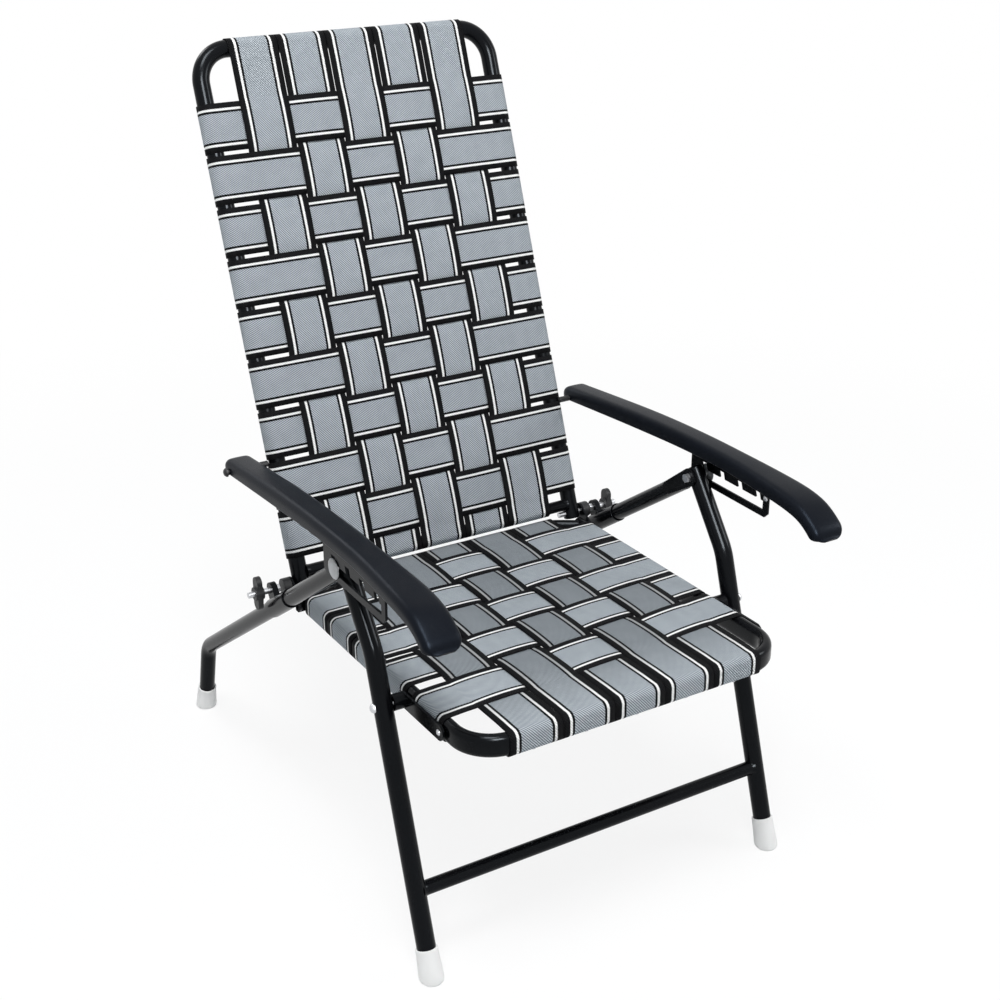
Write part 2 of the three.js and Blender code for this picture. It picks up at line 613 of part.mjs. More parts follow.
function turnPoints(at, way) {
  const points = [];
  const arc = (from, to, depth, steps) => {
    for (let k = 0; k <= steps; k += 1) {
      const angle = from + ((to - from) * k) / steps;
      points.push(side(at.along + way * at.radius * Math.cos(angle), depth + at.radius * Math.sin(angle)));
    }
  };
  arc(Math.PI / 2, 0, at.depth + at.straight, 4);
  if (at.straight === 0) points.pop();
  arc(0, -WEB_TURN_TAIL, at.depth - at.straight, 5);
  return points;
}

// The middle line of a strap: round one tube, over and under its crossings, and round the other
function strapLine(start, end, crossings) {
  const flat = WEB_W / 2 + WEB_FLAT_MARGIN;
  const points = turnPoints(start, -1).reverse();
  for (const { at, over } of crossings) {
    const level = faceLevel(start) + (over ? webStep : 0);
    points.push(side(at - flat, level), side(at + flat, level));
  }
  return [...points, ...turnPoints(end, 1)];
}

// A band of even thickness along a line, with mitred corners
function bandShape(line, thickness) {
  const left = [];
  const right = [];
  line.forEach((point, i) => {
    const before = point.clone().sub(line[Math.max(i - 1, 0)]).normalize();
    const after = line[Math.min(i + 1, line.length - 1)].clone().sub(point).normalize();
    const heading = before.clone().add(after).normalize();
    const leg = i === 0 ? after : before;
    const reach = thickness / 2 / heading.dot(leg);
    const offset = side(-heading.y, heading.x).multiplyScalar(reach);
    left.push(point.clone().add(offset));
    right.unshift(point.clone().sub(offset));
  });
  return new THREE.Shape([...left, ...right]);
}

const crossToPanel = new THREE.Matrix4().makeBasis(
  new THREE.Vector3(1, 0, 0),
  new THREE.Vector3(0, 0, 1),
  new THREE.Vector3(0, -1, 0),
);
const bandSolid = (line) => new THREE.ExtrudeGeometry(bandShape(line, WEB_T), { depth: WEB_W, bevelEnabled: false });
const longBand = (line, x) => bandSolid(line).applyMatrix4(sideToWorld).translate(x - WEB_W / 2, 0, 0);
const crossBand = (line, y) => bandSolid(line).applyMatrix4(crossToPanel).translate(0, y + WEB_W / 2, 0);

// Plain weave: a long strap lies over a crossing where the sum of both counts has the panel's parity
function weave(panel) {
  const longOver = (i, j) => (i + j) % 2 === panel.parity;
  panel.longs.forEach((x, i) => {
    const crossings = panel.crosses.map((at, j) => ({ at, over: longOver(i, j) }));
    const line = strapLine(panel.longStart, panel.longEnd, crossings);
    add(`${panel.name}_long_strap_${i + 1}`, longBand(line, x).applyMatrix4(panel.frame), greyWebbing);
  });
  panel.crosses.forEach((y, j) => {
    const crossings = panel.longs.map((at, i) => ({ at, over: !longOver(i, j) }));
    const line = strapLine(panel.crossLeft, panel.crossRight, crossings);
    add(`${panel.name}_cross_strap_${j + 1}`, crossBand(line, y).applyMatrix4(panel.frame), greyWebbing);
  });
}

const COUNT_SLACK = 1e-6;
const fits = (length, pitch) => Math.floor(length / pitch + COUNT_SLACK) + 1;
const spread = (length, pitch, first) => Array.from({ length: fits(length, pitch) }, (_, i) => first + i * pitch);
const centred = (length, pitch) => spread(length, pitch, ((1 - fits(length, pitch)) * pitch) / 2);

const backCrossRun = BACK_HEIGHT - BACK_CROSS_TOP_MARGIN - BACK_CROSS_FIRST;
weave({
  name: 'back',
  frame: backFrame,
  parity: 0,
  longs: centred(2 * (backX - BACK_LONG_MARGIN), BACK_LONG_PITCH),
  crosses: spread(backCrossRun, BACK_CROSS_PITCH, BACK_CROSS_FIRST),
  longStart: turn(BACK_BAR_UP, backBarForward, BACK_BAR_R, 0),
  longEnd: turn(BACK_HEIGHT, 0, TUBE_R, 0),
  crossLeft: turn(-backX, 0, TUBE_R, 0),
  crossRight: turn(backX, 0, TUBE_R, 0),
});

const railR = RAIL_W / 2;
const railStraight = RAIL_H / 2 - railR;
const frontCross = -PIVOT_TO_FRONT_STRAP - WEB_W / 2;
const secondCross = PIVOT_TO_REAR_STRAP + WEB_W / 2;
const rearCrossRun = rearBarReach - SEAT_CROSS_REAR_MARGIN - secondCross;
weave({
  name: 'seat',
  frame: seatFrame,
  parity: 1,
  longs: centred(2 * (railX - SEAT_LONG_MARGIN), SEAT_LONG_PITCH),
  crosses: [frontCross, ...spread(rearCrossRun, SEAT_CROSS_PITCH, secondCross)],
  longStart: turn(-SEAT_FRONT_REACH, 0, railR, railStraight),
  longEnd: turn(rearBarReach, rearBarUp, REAR_BAR_R, 0),
  crossLeft: turn(-railX, 0, railR, railStraight),
  crossRight: turn(railX, 0, railR, railStraight),
});

// The origin is on the floor, under the middle of the chair
const extent = new THREE.Box3().setFromObject(chair, true);
chair.position.y = -(extent.min.y + extent.max.y) / 2;

export default chair;
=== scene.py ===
# %% [markdown]
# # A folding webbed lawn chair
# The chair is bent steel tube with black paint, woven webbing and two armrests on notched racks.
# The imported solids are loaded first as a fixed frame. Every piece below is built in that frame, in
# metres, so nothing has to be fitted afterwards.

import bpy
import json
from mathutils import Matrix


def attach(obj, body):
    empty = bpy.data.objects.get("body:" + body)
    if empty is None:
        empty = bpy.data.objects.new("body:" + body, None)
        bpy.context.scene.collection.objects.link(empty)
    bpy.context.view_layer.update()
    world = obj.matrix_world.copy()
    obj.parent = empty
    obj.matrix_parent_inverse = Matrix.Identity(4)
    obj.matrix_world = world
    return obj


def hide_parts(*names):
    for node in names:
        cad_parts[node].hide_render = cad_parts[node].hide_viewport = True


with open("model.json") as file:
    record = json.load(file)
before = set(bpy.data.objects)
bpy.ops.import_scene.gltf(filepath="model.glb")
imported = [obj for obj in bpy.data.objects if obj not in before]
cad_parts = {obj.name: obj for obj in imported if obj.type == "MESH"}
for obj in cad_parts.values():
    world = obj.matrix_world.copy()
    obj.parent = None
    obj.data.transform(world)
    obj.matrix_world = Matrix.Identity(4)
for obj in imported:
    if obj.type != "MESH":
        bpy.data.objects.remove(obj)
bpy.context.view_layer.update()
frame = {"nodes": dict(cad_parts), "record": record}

import json

import bmesh
import bpy
import numpy as np

MM = 0.001
SIDES = (("left", -1.0), ("right", 1.0))

# %% [markdown]
# ## The camera
# The photograph is taken from above and from the chair's own right. The lens and the place were
# solved from the feet, the bars and the rows of webbing, so the camera is written as numbers.

# %% Camera
LENS_MM, SENSOR_MM = 57.9, 36.0
CAMERA_PLACE = (-0.94487, -1.63787, 1.28259)
CAMERA_DOWN, CAMERA_TURN = 24.33, -31.04


def new_object(name, data):
    """Puts a camera, lamp or mesh into the scene as an object of the same name."""
    made = bpy.data.objects.new(name, data)
    bpy.context.scene.collection.objects.link(made)
    return made


lens = bpy.data.cameras.new("photo_camera")
lens.lens = LENS_MM
lens.sensor_width = SENSOR_MM
camera = new_object("photo_camera", lens)
camera.location = CAMERA_PLACE
camera.rotation_euler = (np.radians(90 - CAMERA_DOWN), 0.0, np.radians(CAMERA_TURN))
bpy.context.scene.camera = camera
print("camera", tuple(camera.location))

# %% [markdown]
# ## Lamps
# A product picture on white has wide soft light. Large area lamps give the long, soft highlights
# that show a round tube. The key lamp stands high in front, and two weak lamps open up the shadows.
# Black paint shows its roundness only by reflections, and more light would make the tape too pale.
# So the shine card is a lamp that lights no matt surface and shows only as a streak in the gloss.

# %% Lamps
CHAIR_MIDDLE = (0.0, 0.0, 0.5)
LAMPS = {
    "key_lamp": {"place": (-0.85, -1.1, 3.95), "size": 1.4, "watts": 145},
    "fill_lamp": {"place": (2.6, -1.6, 1.8), "size": 1.0, "watts": 30},
    "rear_lamp": {"place": (-0.8, 2.6, 2.6), "size": 1.0, "watts": 20},
    "shine_card": {"place": (-0.8, -2.9, 2.5), "size": 1.3, "watts": 210},
}


def soft_lamp(name, place, size, watts):
    """A square area lamp that looks from its place to the middle of the chair. With a heading of
    (x, y, z), it tips from straight down by the angle of hypot(x, y) to -z and turns by that of -x to y."""
    lamp = bpy.data.lights.new(name, "AREA")
    lamp.shape = "SQUARE"
    lamp.size = size
    lamp.energy = watts
    holder = new_object(name, lamp)
    holder.location = place
    heading = np.subtract(CHAIR_MIDDLE, place)
    flat = np.hypot(heading[0], heading[1])
    holder.rotation_euler = (np.arctan2(flat, -heading[2]), 0.0, np.arctan2(-heading[0], heading[1]))
    return holder


lamps = {name: soft_lamp(name, **values) for name, values in LAMPS.items()}
lamps["shine_card"].visible_diffuse = False
print("lamps", list(lamps))

# %% [markdown]
# ## Short ways to write nodes
# A world or a material is a tree of nodes. Adding and linking them one call at a time makes long
# listings, so a few helpers come first: one adds a node with its inputs, one does arithmetic, one
# maps a range, and two mix colours or shaders. Every later finish is written with these.


# %% Node helpers
def node_tree(owner):
    """Empties the node tree of a material or world and returns it."""
    owner.use_nodes = True
    owner.node_tree.nodes.clear()
    return owner.node_tree


def fill(tree, socket, value):
    """Links an output socket to an input, or writes a plain value on it."""
    if isinstance(value, bpy.types.NodeSocket):
        tree.links.new(value, socket)
    else:
        socket.default_value = value


def add_node(tree, kind, **inputs):
    """Adds a node and sets its inputs by name, where an underscore stands for a space."""
    node = tree.nodes.new(kind)
    for name, value in inputs.items():
        fill(tree, node.inputs[name.replace("_", " ")], value)
    return node


def maths(tree, operation, *values, clamp=False):
    """One step of arithmetic: the operation's inputs are given in order."""
    node = tree.nodes.new("ShaderNodeMath")
    node.operation = operation
    node.use_clamp = clamp
    for socket, value in zip(node.inputs, values):
        fill(tree, socket, value)
    return node.outputs[0]


def span(tree, value, low, high, to_low=0.0, to_high=1.0, smooth=False):
    """Maps low..high to to_low..to_high and stops at both ends."""
    node = tree.nodes.new("ShaderNodeMapRange")
    node.interpolation_type = "SMOOTHSTEP" if smooth else "LINEAR"
    for socket, number in zip(node.inputs, (value, low, high, to_low, to_high)):
        fill(tree, socket, number)
    return node.outputs[0]


def blend_colours(tree, share, first, second):
    """Mixes two colours by a share from 0 to 1. A Mix node keeps its colours on inputs 6 and 7."""
    node = tree.nodes.new("ShaderNodeMix")
    node.data_type = "RGBA"
    for number, value in ((0, share), (6, first), (7, second)):
        fill(tree, node.inputs[number], value)
    return node.outputs[2]


def blend_shaders(tree, share, first, second):
    """Mixes two shaders by a share from 0 to 1."""
    node = tree.nodes.new("ShaderNodeMixShader")
    for socket, value in zip(node.inputs, (share, first.outputs[0], second.outputs[0])):
        fill(tree, socket, value)
    return node.outputs[0]


def seen_directly(tree):
    """1 for rays from the camera, from a mirror or through glass, which should meet the backdrop."""
    path = tree.nodes.new("ShaderNodeLightPath")
    seen = maths(tree, "MAXIMUM", path.outputs["Is Camera Ray"], path.outputs["Is Glossy Ray"])
    return maths(tree, "MAXIMUM", seen, path.outputs["Is Transmission Ray"])


print("node helpers ready")

# %% [markdown]
# ## White room and floor
# The background is white to the camera and in reflections, but as a light it is a dim, slightly blue
# room. The floor is pale paper, and it is mixed with plain white in the same way. So it still catches
# the shadow under the feet, gives off no light of its own to the chair, and fades to white around it.

# %% World and floor
WHITE = (1.0, 1.0, 1.0, 1.0)
ROOM_COLOUR, ROOM_LIGHT = (0.9, 0.95, 1.0, 1.0), 0.30
PAPER_COLOUR = (0.86, 0.86, 0.86, 1.0)
PAPER_WHITE = 0.86
PAPER_NEAR, PAPER_FAR = 0.9, 2.2
FLOOR_HALF = 6.0

world = bpy.data.worlds.new("white_room")
bpy.context.scene.world = world
tree = node_tree(world)
room = add_node(tree, "ShaderNodeBackground", Color=ROOM_COLOUR, Strength=ROOM_LIGHT)
backdrop = add_node(tree, "ShaderNodeBackground", Color=WHITE, Strength=1.0)
mixed = blend_shaders(tree, seen_directly(tree), room, backdrop)
add_node(tree, "ShaderNodeOutputWorld", Surface=mixed)

paper = bpy.data.materials.new("white_paper")
tree = node_tree(paper)
place = tree.nodes.new("ShaderNodeTexCoord").outputs["Object"]
distance = add_node(tree, "ShaderNodeVectorMath", Vector=place)
distance.operation = "LENGTH"
far = span(tree, distance.outputs["Value"], PAPER_NEAR, PAPER_FAR, PAPER_WHITE, 1.0, smooth=True)
lit = add_node(tree, "ShaderNodeBsdfDiffuse", Color=PAPER_COLOUR)
plain_white = add_node(tree, "ShaderNodeEmission", Color=WHITE, Strength=1.0)
mixed = blend_shaders(tree, maths(tree, "MULTIPLY", far, seen_directly(tree)), lit, plain_white)
add_node(tree, "ShaderNodeOutputMaterial", Surface=mixed)

floor_mesh = bpy.data.meshes.new("studio_floor")
floor_corners = np.array([(-1, -1, 0), (1, -1, 0), (1, 1, 0), (-1, 1, 0)]) * FLOOR_HALF
floor_mesh.from_pydata(floor_corners.tolist(), [], [(0, 1, 2, 3)])
floor_mesh.materials.append(paper)
studio_floor = new_object("studio_floor", floor_mesh)
bpy.context.scene.view_settings.view_transform = "Standard"
print("floor", 2 * FLOOR_HALF, "m wide, room light", ROOM_LIGHT)

# %% [markdown]
# ## Effects that several finishes share
# Paint, plastic and metal all have a fine grain that changes the gloss from place to place, and
# an outdoor chair gathers a little dust where surfaces face up. Each effect is one node group with
# named sockets, so every finish sets its own scale and strength.

# %% Grain group
FLOAT = "NodeSocketFloat"
COLOUR = "NodeSocketColor"
CLOUD_SCALE = 14.0
FINE_SHARE = 0.6


def effect_group(name, inputs, outputs):
    """An empty shader node group with named sockets. Returns the group, its input and its output node."""
    group = bpy.data.node_groups.new(name, "ShaderNodeTree")
    for label, kind, value in inputs:
        socket = group.interface.new_socket(name=label, in_out="INPUT", socket_type=kind)
        socket.default_value = value
    for label, kind in outputs:
        group.interface.new_socket(name=label, in_out="OUTPUT", socket_type=kind)
    return group, group.nodes.new("NodeGroupInput"), group.nodes.new("NodeGroupOutput")


def noise(tree, vector, scale, detail=3.0, roughness=0.55):
    """Cloudy noise from 0 to 1."""
    node = add_node(tree, "ShaderNodeTexNoise", Vector=vector, Scale=scale)
    node.inputs["Detail"].default_value = detail
    node.inputs["Roughness"].default_value = roughness
    return node.outputs["Fac"]


def around_zero(tree, value):
    """Moves a noise from 0..1 to -0.5..0.5."""
    return maths(tree, "SUBTRACT", value, 0.5)


grain_group, inner, outer = effect_group(
    "surface_grain",
    [("Scale", FLOAT, 900.0), ("Gloss", FLOAT, 0.35), ("Spread", FLOAT, 0.1)],
    [("Roughness", FLOAT), ("Height", FLOAT), ("Cloud", FLOAT)],
)
tree = grain_group
place = tree.nodes.new("ShaderNodeTexCoord").outputs["Object"]
fine = noise(tree, place, inner.outputs["Scale"], 2.0)
cloud = noise(tree, place, CLOUD_SCALE, 4.0)
swing = maths(tree, "MULTIPLY", around_zero(tree, cloud), inner.outputs["Spread"])
fine_spread = maths(tree, "MULTIPLY", inner.outputs["Spread"], FINE_SHARE)
small = maths(tree, "MULTIPLY", around_zero(tree, fine), fine_spread)
gloss = maths(tree, "ADD", inner.outputs["Gloss"], maths(tree, "ADD", swing, small), clamp=True)
tree.links.new(gloss, outer.inputs["Roughness"])
tree.links.new(fine, outer.inputs["Height"])
tree.links.new(cloud, outer.inputs["Cloud"])
print("group", grain_group.name)

# %% [markdown]
# Dust is a pale colour laid over the clean one. Its mask is the product of three things: how far the
# surface faces up, wide patches, and small specks. A paint that was pale all over would look faded
# instead, so the amount in each finish below is small.

# %% Dust group
DUST_COLOUR = (0.34, 0.32, 0.29, 1.0)
PATCH_SCALE, SPECK_SCALE = 38.0, 420.0
LEAST_SPECK = 0.4

dust_group, inner, outer = effect_group(
    "light_dust",
    [("Amount", FLOAT, 0.06), ("Clean Color", COLOUR, (0.02, 0.02, 0.02, 1.0))],
    [("Color", COLOUR)],
)
tree = dust_group
coordinates = tree.nodes.new("ShaderNodeTexCoord")
facing = add_node(tree, "ShaderNodeSeparateXYZ", Vector=coordinates.outputs["Normal"])
upward = span(tree, facing.outputs["Z"], 0.2, 1.0, smooth=True)
patch = span(tree, noise(tree, coordinates.outputs["Object"], PATCH_SCALE, 5.0, 0.65), 0.38, 0.72)
speck = span(tree, noise(tree, coordinates.outputs["Object"], SPECK_SCALE, 2.0), 0.45, 0.75)
mask = maths(tree, "MULTIPLY", maths(tree, "MULTIPLY", upward, patch), maths(tree, "ADD", LEAST_SPECK, speck))
mask = maths(tree, "MULTIPLY", mask, inner.outputs["Amount"], clamp=True)
dusted = blend_colours(tree, mask, inner.outputs["Clean Color"], DUST_COLOUR)
tree.links.new(dusted, outer.inputs["Color"])
print("group", dust_group.name)

# %% [markdown]
# ## Hard finishes
# The tubes have a smooth black stove paint, the bolts bright zinc, and the armrests, knobs, caps and
# feet are moulded plastic. All six use the same recipe with their own numbers: a clean colour with
# dust over it, a gloss that drifts with the grain, and a shallow bump. In a white room a black surface
# reflects so much white that it looks grey, so the paint and the armrests have a weak, bluish shine.


# %% Paint, zinc and plastics
def place_group(tree, group, **inputs):
    """Places a node group in a tree and sets its inputs by name."""
    node = tree.nodes.new("ShaderNodeGroup")
    node.node_tree = group
    for name, value in inputs.items():
        fill(tree, node.inputs[name.replace("_", " ")], value)
    return node


def hard_finish(
    name, colour, gloss, spread, scale, relief, dust, metallic=0.0, shine=0.5, tint=0.12, sheen=WHITE
):
    """A hard surface. Its colour drifts from colour * (1 - tint) to colour * (1 + tint), its roughness lies
    around gloss by the spread, and its grain of the given scale is a bump of relief metres. The strength
    of its reflection is shine, and the colour of it is sheen."""
    material = bpy.data.materials.new(name)
    tree = node_tree(material)
    grain = place_group(tree, grain_group, Scale=scale, Gloss=gloss, Spread=spread)
    deep = tuple(channel * (1.0 - tint) for channel in colour) + (1.0,)
    pale = tuple(min(channel * (1.0 + tint), 1.0) for channel in colour) + (1.0,)
    clean = blend_colours(tree, grain.outputs["Cloud"], deep, pale)
    dusty = place_group(tree, dust_group, Amount=dust, Clean_Color=clean)
    bump = add_node(tree, "ShaderNodeBump", Strength=1.0, Distance=relief, Height=grain.outputs["Height"])
    shader = add_node(tree, "ShaderNodeBsdfPrincipled", Base_Color=dusty.outputs["Color"])
    tree.links.new(grain.outputs["Roughness"], shader.inputs["Roughness"])
    tree.links.new(bump.outputs["Normal"], shader.inputs["Normal"])
    shader.inputs["Metallic"].default_value = metallic
    shader.inputs["Specular IOR Level"].default_value = shine
    shader.inputs["Specular Tint"].default_value = sheen
    add_node(tree, "ShaderNodeOutputMaterial", Surface=shader.outputs[0])
    return material


frame_paint = hard_finish(
    "frame_paint", (0.0030, 0.0032, 0.0040), gloss=0.19, spread=0.08, scale=700.0, relief=0.00003,
    dust=0.010, shine=0.10, sheen=(0.85, 0.93, 1.0, 1.0),
)
zinc = hard_finish(
    "zinc", (0.56, 0.57, 0.59), gloss=0.34, spread=0.22, scale=1500.0, relief=0.00003,
    dust=0.05, metallic=1.0,
)
armrest_plastic = hard_finish(
    "armrest_plastic", (0.0042, 0.0050, 0.0074), gloss=0.36, spread=0.12, scale=1300.0, relief=0.00010,
    dust=0.010, shine=0.085, sheen=(0.6, 0.76, 1.0, 1.0),
)
knob_plastic = hard_finish(
    "knob_plastic", (0.012, 0.0125, 0.014), gloss=0.45, spread=0.12, scale=1300.0, relief=0.0001,
    dust=0.03, shine=0.3,
)
cap_plastic = hard_finish(
    "cap_plastic", (0.40, 0.41, 0.42), gloss=0.42, spread=0.1, scale=1100.0, relief=0.00006, dust=0.06
)
foot_plastic = hard_finish(
    "foot_plastic", (0.79, 0.79, 0.78), gloss=0.48, spread=0.12, scale=900.0, relief=0.00008,
    dust=0.05, shine=0.15, tint=0.025,
)
print("finishes", [material.name for material in bpy.data.materials])

# %% [markdown]
# ## The twill of the webbing
# The straps are woven polypropylene tape: a grey twill body, then on each side a thin black line, a
# white line and a black edge. The weave is far too fine to model, so each strap carries a UV map,
# with u across it from edge to edge and v along it in strap widths. The bands are read from u, and
# the slanting ribs of the twill from u and v together.

# %% Twill group
RIBS_PER_WIDTH = 19.0
RIB_SLANT = 1.15
RAGGED, RAGGED_SCALE = 0.022, 60.0
WANDER, WANDER_SCALE = 0.012, 9.0
FADE_SCALE = 3.5

twill_group, inner, outer = effect_group(
    "twill_tape",
    [("Ribs", FLOAT, RIBS_PER_WIDTH), ("Slant", FLOAT, RIB_SLANT)],
    [("From Middle", FLOAT), ("Rib", FLOAT), ("Yarn", FLOAT), ("Fade", FLOAT), ("Along", FLOAT)],
)
tree = twill_group


def wave_of(tree, turns):
    """A wave from 0 to 1: half the sine of the turns, plus a half."""
    return maths(tree, "ADD", maths(tree, "MULTIPLY", maths(tree, "SINE", turns), 0.5), 0.5)


uv = add_node(tree, "ShaderNodeUVMap")
uv.uv_map = "strap"
spot = uv.outputs["UV"]
axes = add_node(tree, "ShaderNodeSeparateXYZ", Vector=spot)
across, along = axes.outputs["X"], axes.outputs["Y"]
from_middle = maths(tree, "ABSOLUTE", maths(tree, "SUBTRACT", maths(tree, "MULTIPLY", across, 2.0), 1.0))
ragged = maths(tree, "MULTIPLY", around_zero(tree, noise(tree, spot, RAGGED_SCALE, 1.0)), RAGGED)
slanted = maths(tree, "ADD", maths(tree, "MULTIPLY", across, inner.outputs["Slant"]), along)
slanted = maths(tree, "ADD", slanted, maths(tree, "MULTIPLY", noise(tree, spot, WANDER_SCALE), WANDER))
rib_turns = maths(tree, "MULTIPLY", maths(tree, "MULTIPLY", slanted, inner.outputs["Ribs"]), 2 * np.pi)
yarn_turns = maths(tree, "MULTIPLY", maths(tree, "MULTIPLY", across, inner.outputs["Ribs"]), 4 * np.pi)
tree.links.new(maths(tree, "ADD", from_middle, ragged), outer.inputs["From Middle"])
tree.links.new(wave_of(tree, rib_turns), outer.inputs["Rib"])
tree.links.new(wave_of(tree, yarn_turns), outer.inputs["Yarn"])
tree.links.new(noise(tree, spot, FADE_SCALE, 4.0), outer.inputs["Fade"])
tree.links.new(along, outer.inputs["Along"])
print("group", twill_group.name)

# %% [markdown]
# The tape's colours come next. Four bands meet at three limits, counted from the middle of the tape
# as 0 to its edge as 1. The tape that runs lengthwise on the seat gets painted shade towards the back:
# a second finish of the same tape, darkened along v by painted shade rather than by a colour of its own.

# %% Tape finish
GREY_TO, BLACK_LINE_TO, WHITE_LINE_TO = 0.585, 0.675, 0.770
BAND_EDGE = 0.008
GREY_RIBS = ((0.094, 0.116, 0.137, 1.0), (0.565, 0.608, 0.642, 1.0))
FADED_GREY = (0.20, 0.225, 0.25, 1.0)
# The grey that painted shade darkens the lengthwise seat tape to.
PAINTED_SHADE_GREY = (0.004, 0.005, 0.006, 1.0)
BLACK_YARN = ((0.0015, 0.0016, 0.0020, 1.0), (0.0065, 0.0068, 0.0080, 1.0))
WHITE_RIBS = ((0.70, 0.70, 0.69, 1.0), (0.95, 0.95, 0.94, 1.0))
# Painted shade on the white lines, the stretch along the strap where it grows, and how much more the white
# darkens.
PAINTED_SHADE_WHITE = (0.09, 0.10, 0.11, 1.0)
PAINTED_SHADE_FROM, PAINTED_SHADE_TO = 0.7, 2.0
WHITE_PAINTED_SHADE_GAIN = 1.9
MOST_FADED = 0.25
TAPE_RELIEF, TAPE_ROUGHNESS, TAPE_SHINE = 0.0007, 0.6, 0.05


def tape_finish(name, painted_shade):
    """Tape in four bands. Between PAINTED_SHADE_FROM and PAINTED_SHADE_TO widths along it, painted shade
    darkens the grey by the share painted_shade, and the white lines darken WHITE_PAINTED_SHADE_GAIN times as
    much."""
    material = bpy.data.materials.new(name)
    tree = node_tree(material)
    tape = place_group(tree, twill_group)
    middle, rib, yarn, fade = (tape.outputs[label] for label in ("From Middle", "Rib", "Yarn", "Fade"))
    painted_shade_amount = span(tree, tape.outputs["Along"], PAINTED_SHADE_FROM, PAINTED_SHADE_TO, 0.0, painted_shade)
    grey = blend_colours(tree, rib, *GREY_RIBS)
    grey = blend_colours(tree, span(tree, fade, 0.35, 0.7, 0.0, MOST_FADED), grey, FADED_GREY)
    grey = blend_colours(tree, painted_shade_amount, grey, PAINTED_SHADE_GREY)
    black = blend_colours(tree, yarn, *BLACK_YARN)
    white = blend_colours(tree, rib, *WHITE_RIBS)
    white = blend_colours(tree, maths(tree, "MULTIPLY", painted_shade_amount, WHITE_PAINTED_SHADE_GAIN), white, PAINTED_SHADE_WHITE)
    colour = grey
    for limit, band in ((GREY_TO, black), (BLACK_LINE_TO, white), (WHITE_LINE_TO, black)):
        colour = blend_colours(tree, span(tree, middle, limit - BAND_EDGE, limit + BAND_EDGE), colour, band)
    height = maths(tree, "ADD", maths(tree, "MULTIPLY", rib, 0.7), maths(tree, "MULTIPLY", yarn, 0.3))
    bump = add_node(tree, "ShaderNodeBump", Strength=1.0, Distance=TAPE_RELIEF, Height=height)
    shader = add_node(tree, "ShaderNodeBsdfPrincipled", Base_Color=colour, Normal=bump.outputs["Normal"])
    shader.inputs["Roughness"].default_value = TAPE_ROUGHNESS
    shader.inputs["Specular IOR Level"].default_value = TAPE_SHINE
    add_node(tree, "ShaderNodeOutputMaterial", Surface=shader.outputs[0])
    return material


webbing = tape_finish("webbing", 0.0)
# This second finish is the same tape with painted shade darkening it along the strap.
webbing_painted_shade = tape_finish("webbing_painted_shade", 0.36)
print("webbing bands end at", GREY_TO, BLACK_LINE_TO, WHITE_LINE_TO)

# %% [markdown]
# ## From arrays to pieces
# Each shape below is a grid: rings of points along a path. These helpers turn a grid into faces, put
# several grids into one mesh, and give the piece its body, its finish and the solid it stands for.

# %% Pieces
BEVEL_STEPS = 2
BEVEL_OVER = np.radians(35)


def ring_faces(rows, columns, closed=True):
    """Four-cornered faces between neighbouring rings, and one flat face on each end of a closed grid."""
    number = np.arange(rows * columns).reshape(rows, columns)
    right = np.roll(number, -1, axis=1) if closed else number[:, 1:]
    left = number if closed else number[:, :-1]
    quads = np.stack([left[:-1], right[:-1], right[1:], left[1:]], axis=-1).reshape(-1, 4).tolist()
    if closed:
        quads += [number[0][::-1].tolist(), number[-1].tolist()]
    return quads


def loft(rings):
    """(points, faces) of a closed body from an array of rings, shaped (rows, columns, 3)."""
    rows, columns = rings.shape[:2]
    return rings.reshape(-1, 3), ring_faces(rows, columns)


def together(*bodies):
    """Several (points, faces) as one: the corner numbers of each move up by the points before it."""
    joined, start = [], 0
    for points, faces in bodies:
        joined += [[corner + start for corner in face] for face in faces]
        start += len(points)
    return np.concatenate([points for points, faces in bodies]), joined


def make_piece(name, shape, finish, body, solids=(), sharp=38.0, bevel=0.0):
    """A finished piece from (points, faces): faces turned outwards, smooth up to the sharp angle."""
    points, faces = shape
    mesh = bpy.data.meshes.new(name)
    mesh.from_pydata(np.asarray(points, float).tolist(), [], faces)
    work = bmesh.new()
    work.from_mesh(mesh)
    bmesh.ops.recalc_face_normals(work, faces=work.faces)
    work.to_mesh(mesh)
    work.free()
    mesh.polygons.foreach_set("use_smooth", np.ones(len(mesh.polygons), bool))
    mesh.set_sharp_from_angle(angle=np.radians(sharp))
    mesh.materials.append(finish)
    made = new_object(name, mesh)
    if bevel:
        rounding = made.modifiers.new("rounded_edges", "BEVEL")
        rounding.width = bevel
        rounding.segments = BEVEL_STEPS
        rounding.limit_method = "ANGLE"
        rounding.angle_limit = BEVEL_OVER
    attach(made, body)
    if solids:
        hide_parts(*solids)
    return made


print("piece helpers ready")

# %% [markdown]
# ## Bent tubes and plates
# Nearly all of the frame is tube that was bent on a former, so its middle line is straight runs joined
# by arcs, and the tube is a section carried along that line. The rest is cut plate with round ends.
# Blender's curve objects could do the tubes too, but arrays also round off the cut ends, and a plate
# can go into the same mesh.

# %% Paths and sections
ACROSS = np.array([1.0, 0.0, 0.0])


def bent_path(corners, bend, steps=14):
    """Straight runs between corners, with an arc of radius bend at each inner corner.

    At a corner with unit directions a in and b out and turn t, the arc starts bend * tan(t / 2)
    before the corner and its points are start + bend * sin(k) * a + bend * (1 - cos(k)) * n,
    where n is square to a on the inside of the bend and k runs from 0 to t.
    """
    corners = np.asarray(corners, float)
    runs = [corners[:1]]
    for before, here, after in zip(corners[:-2], corners[1:-1], corners[2:]):
        a = (here - before) / np.linalg.norm(here - before)
        b = (after - here) / np.linalg.norm(after - here)
        turn = np.arccos(np.clip(a @ b, -1, 1))
        n = (b - a * np.cos(turn)) / np.sin(turn)
        k = np.linspace(0, turn, steps)[:, None]
        start = here - a * bend * np.tan(turn / 2)
        runs.append(start + bend * np.sin(k) * a + bend * (1 - np.cos(k)) * n)
    return np.concatenate(runs + [corners[-1:]])


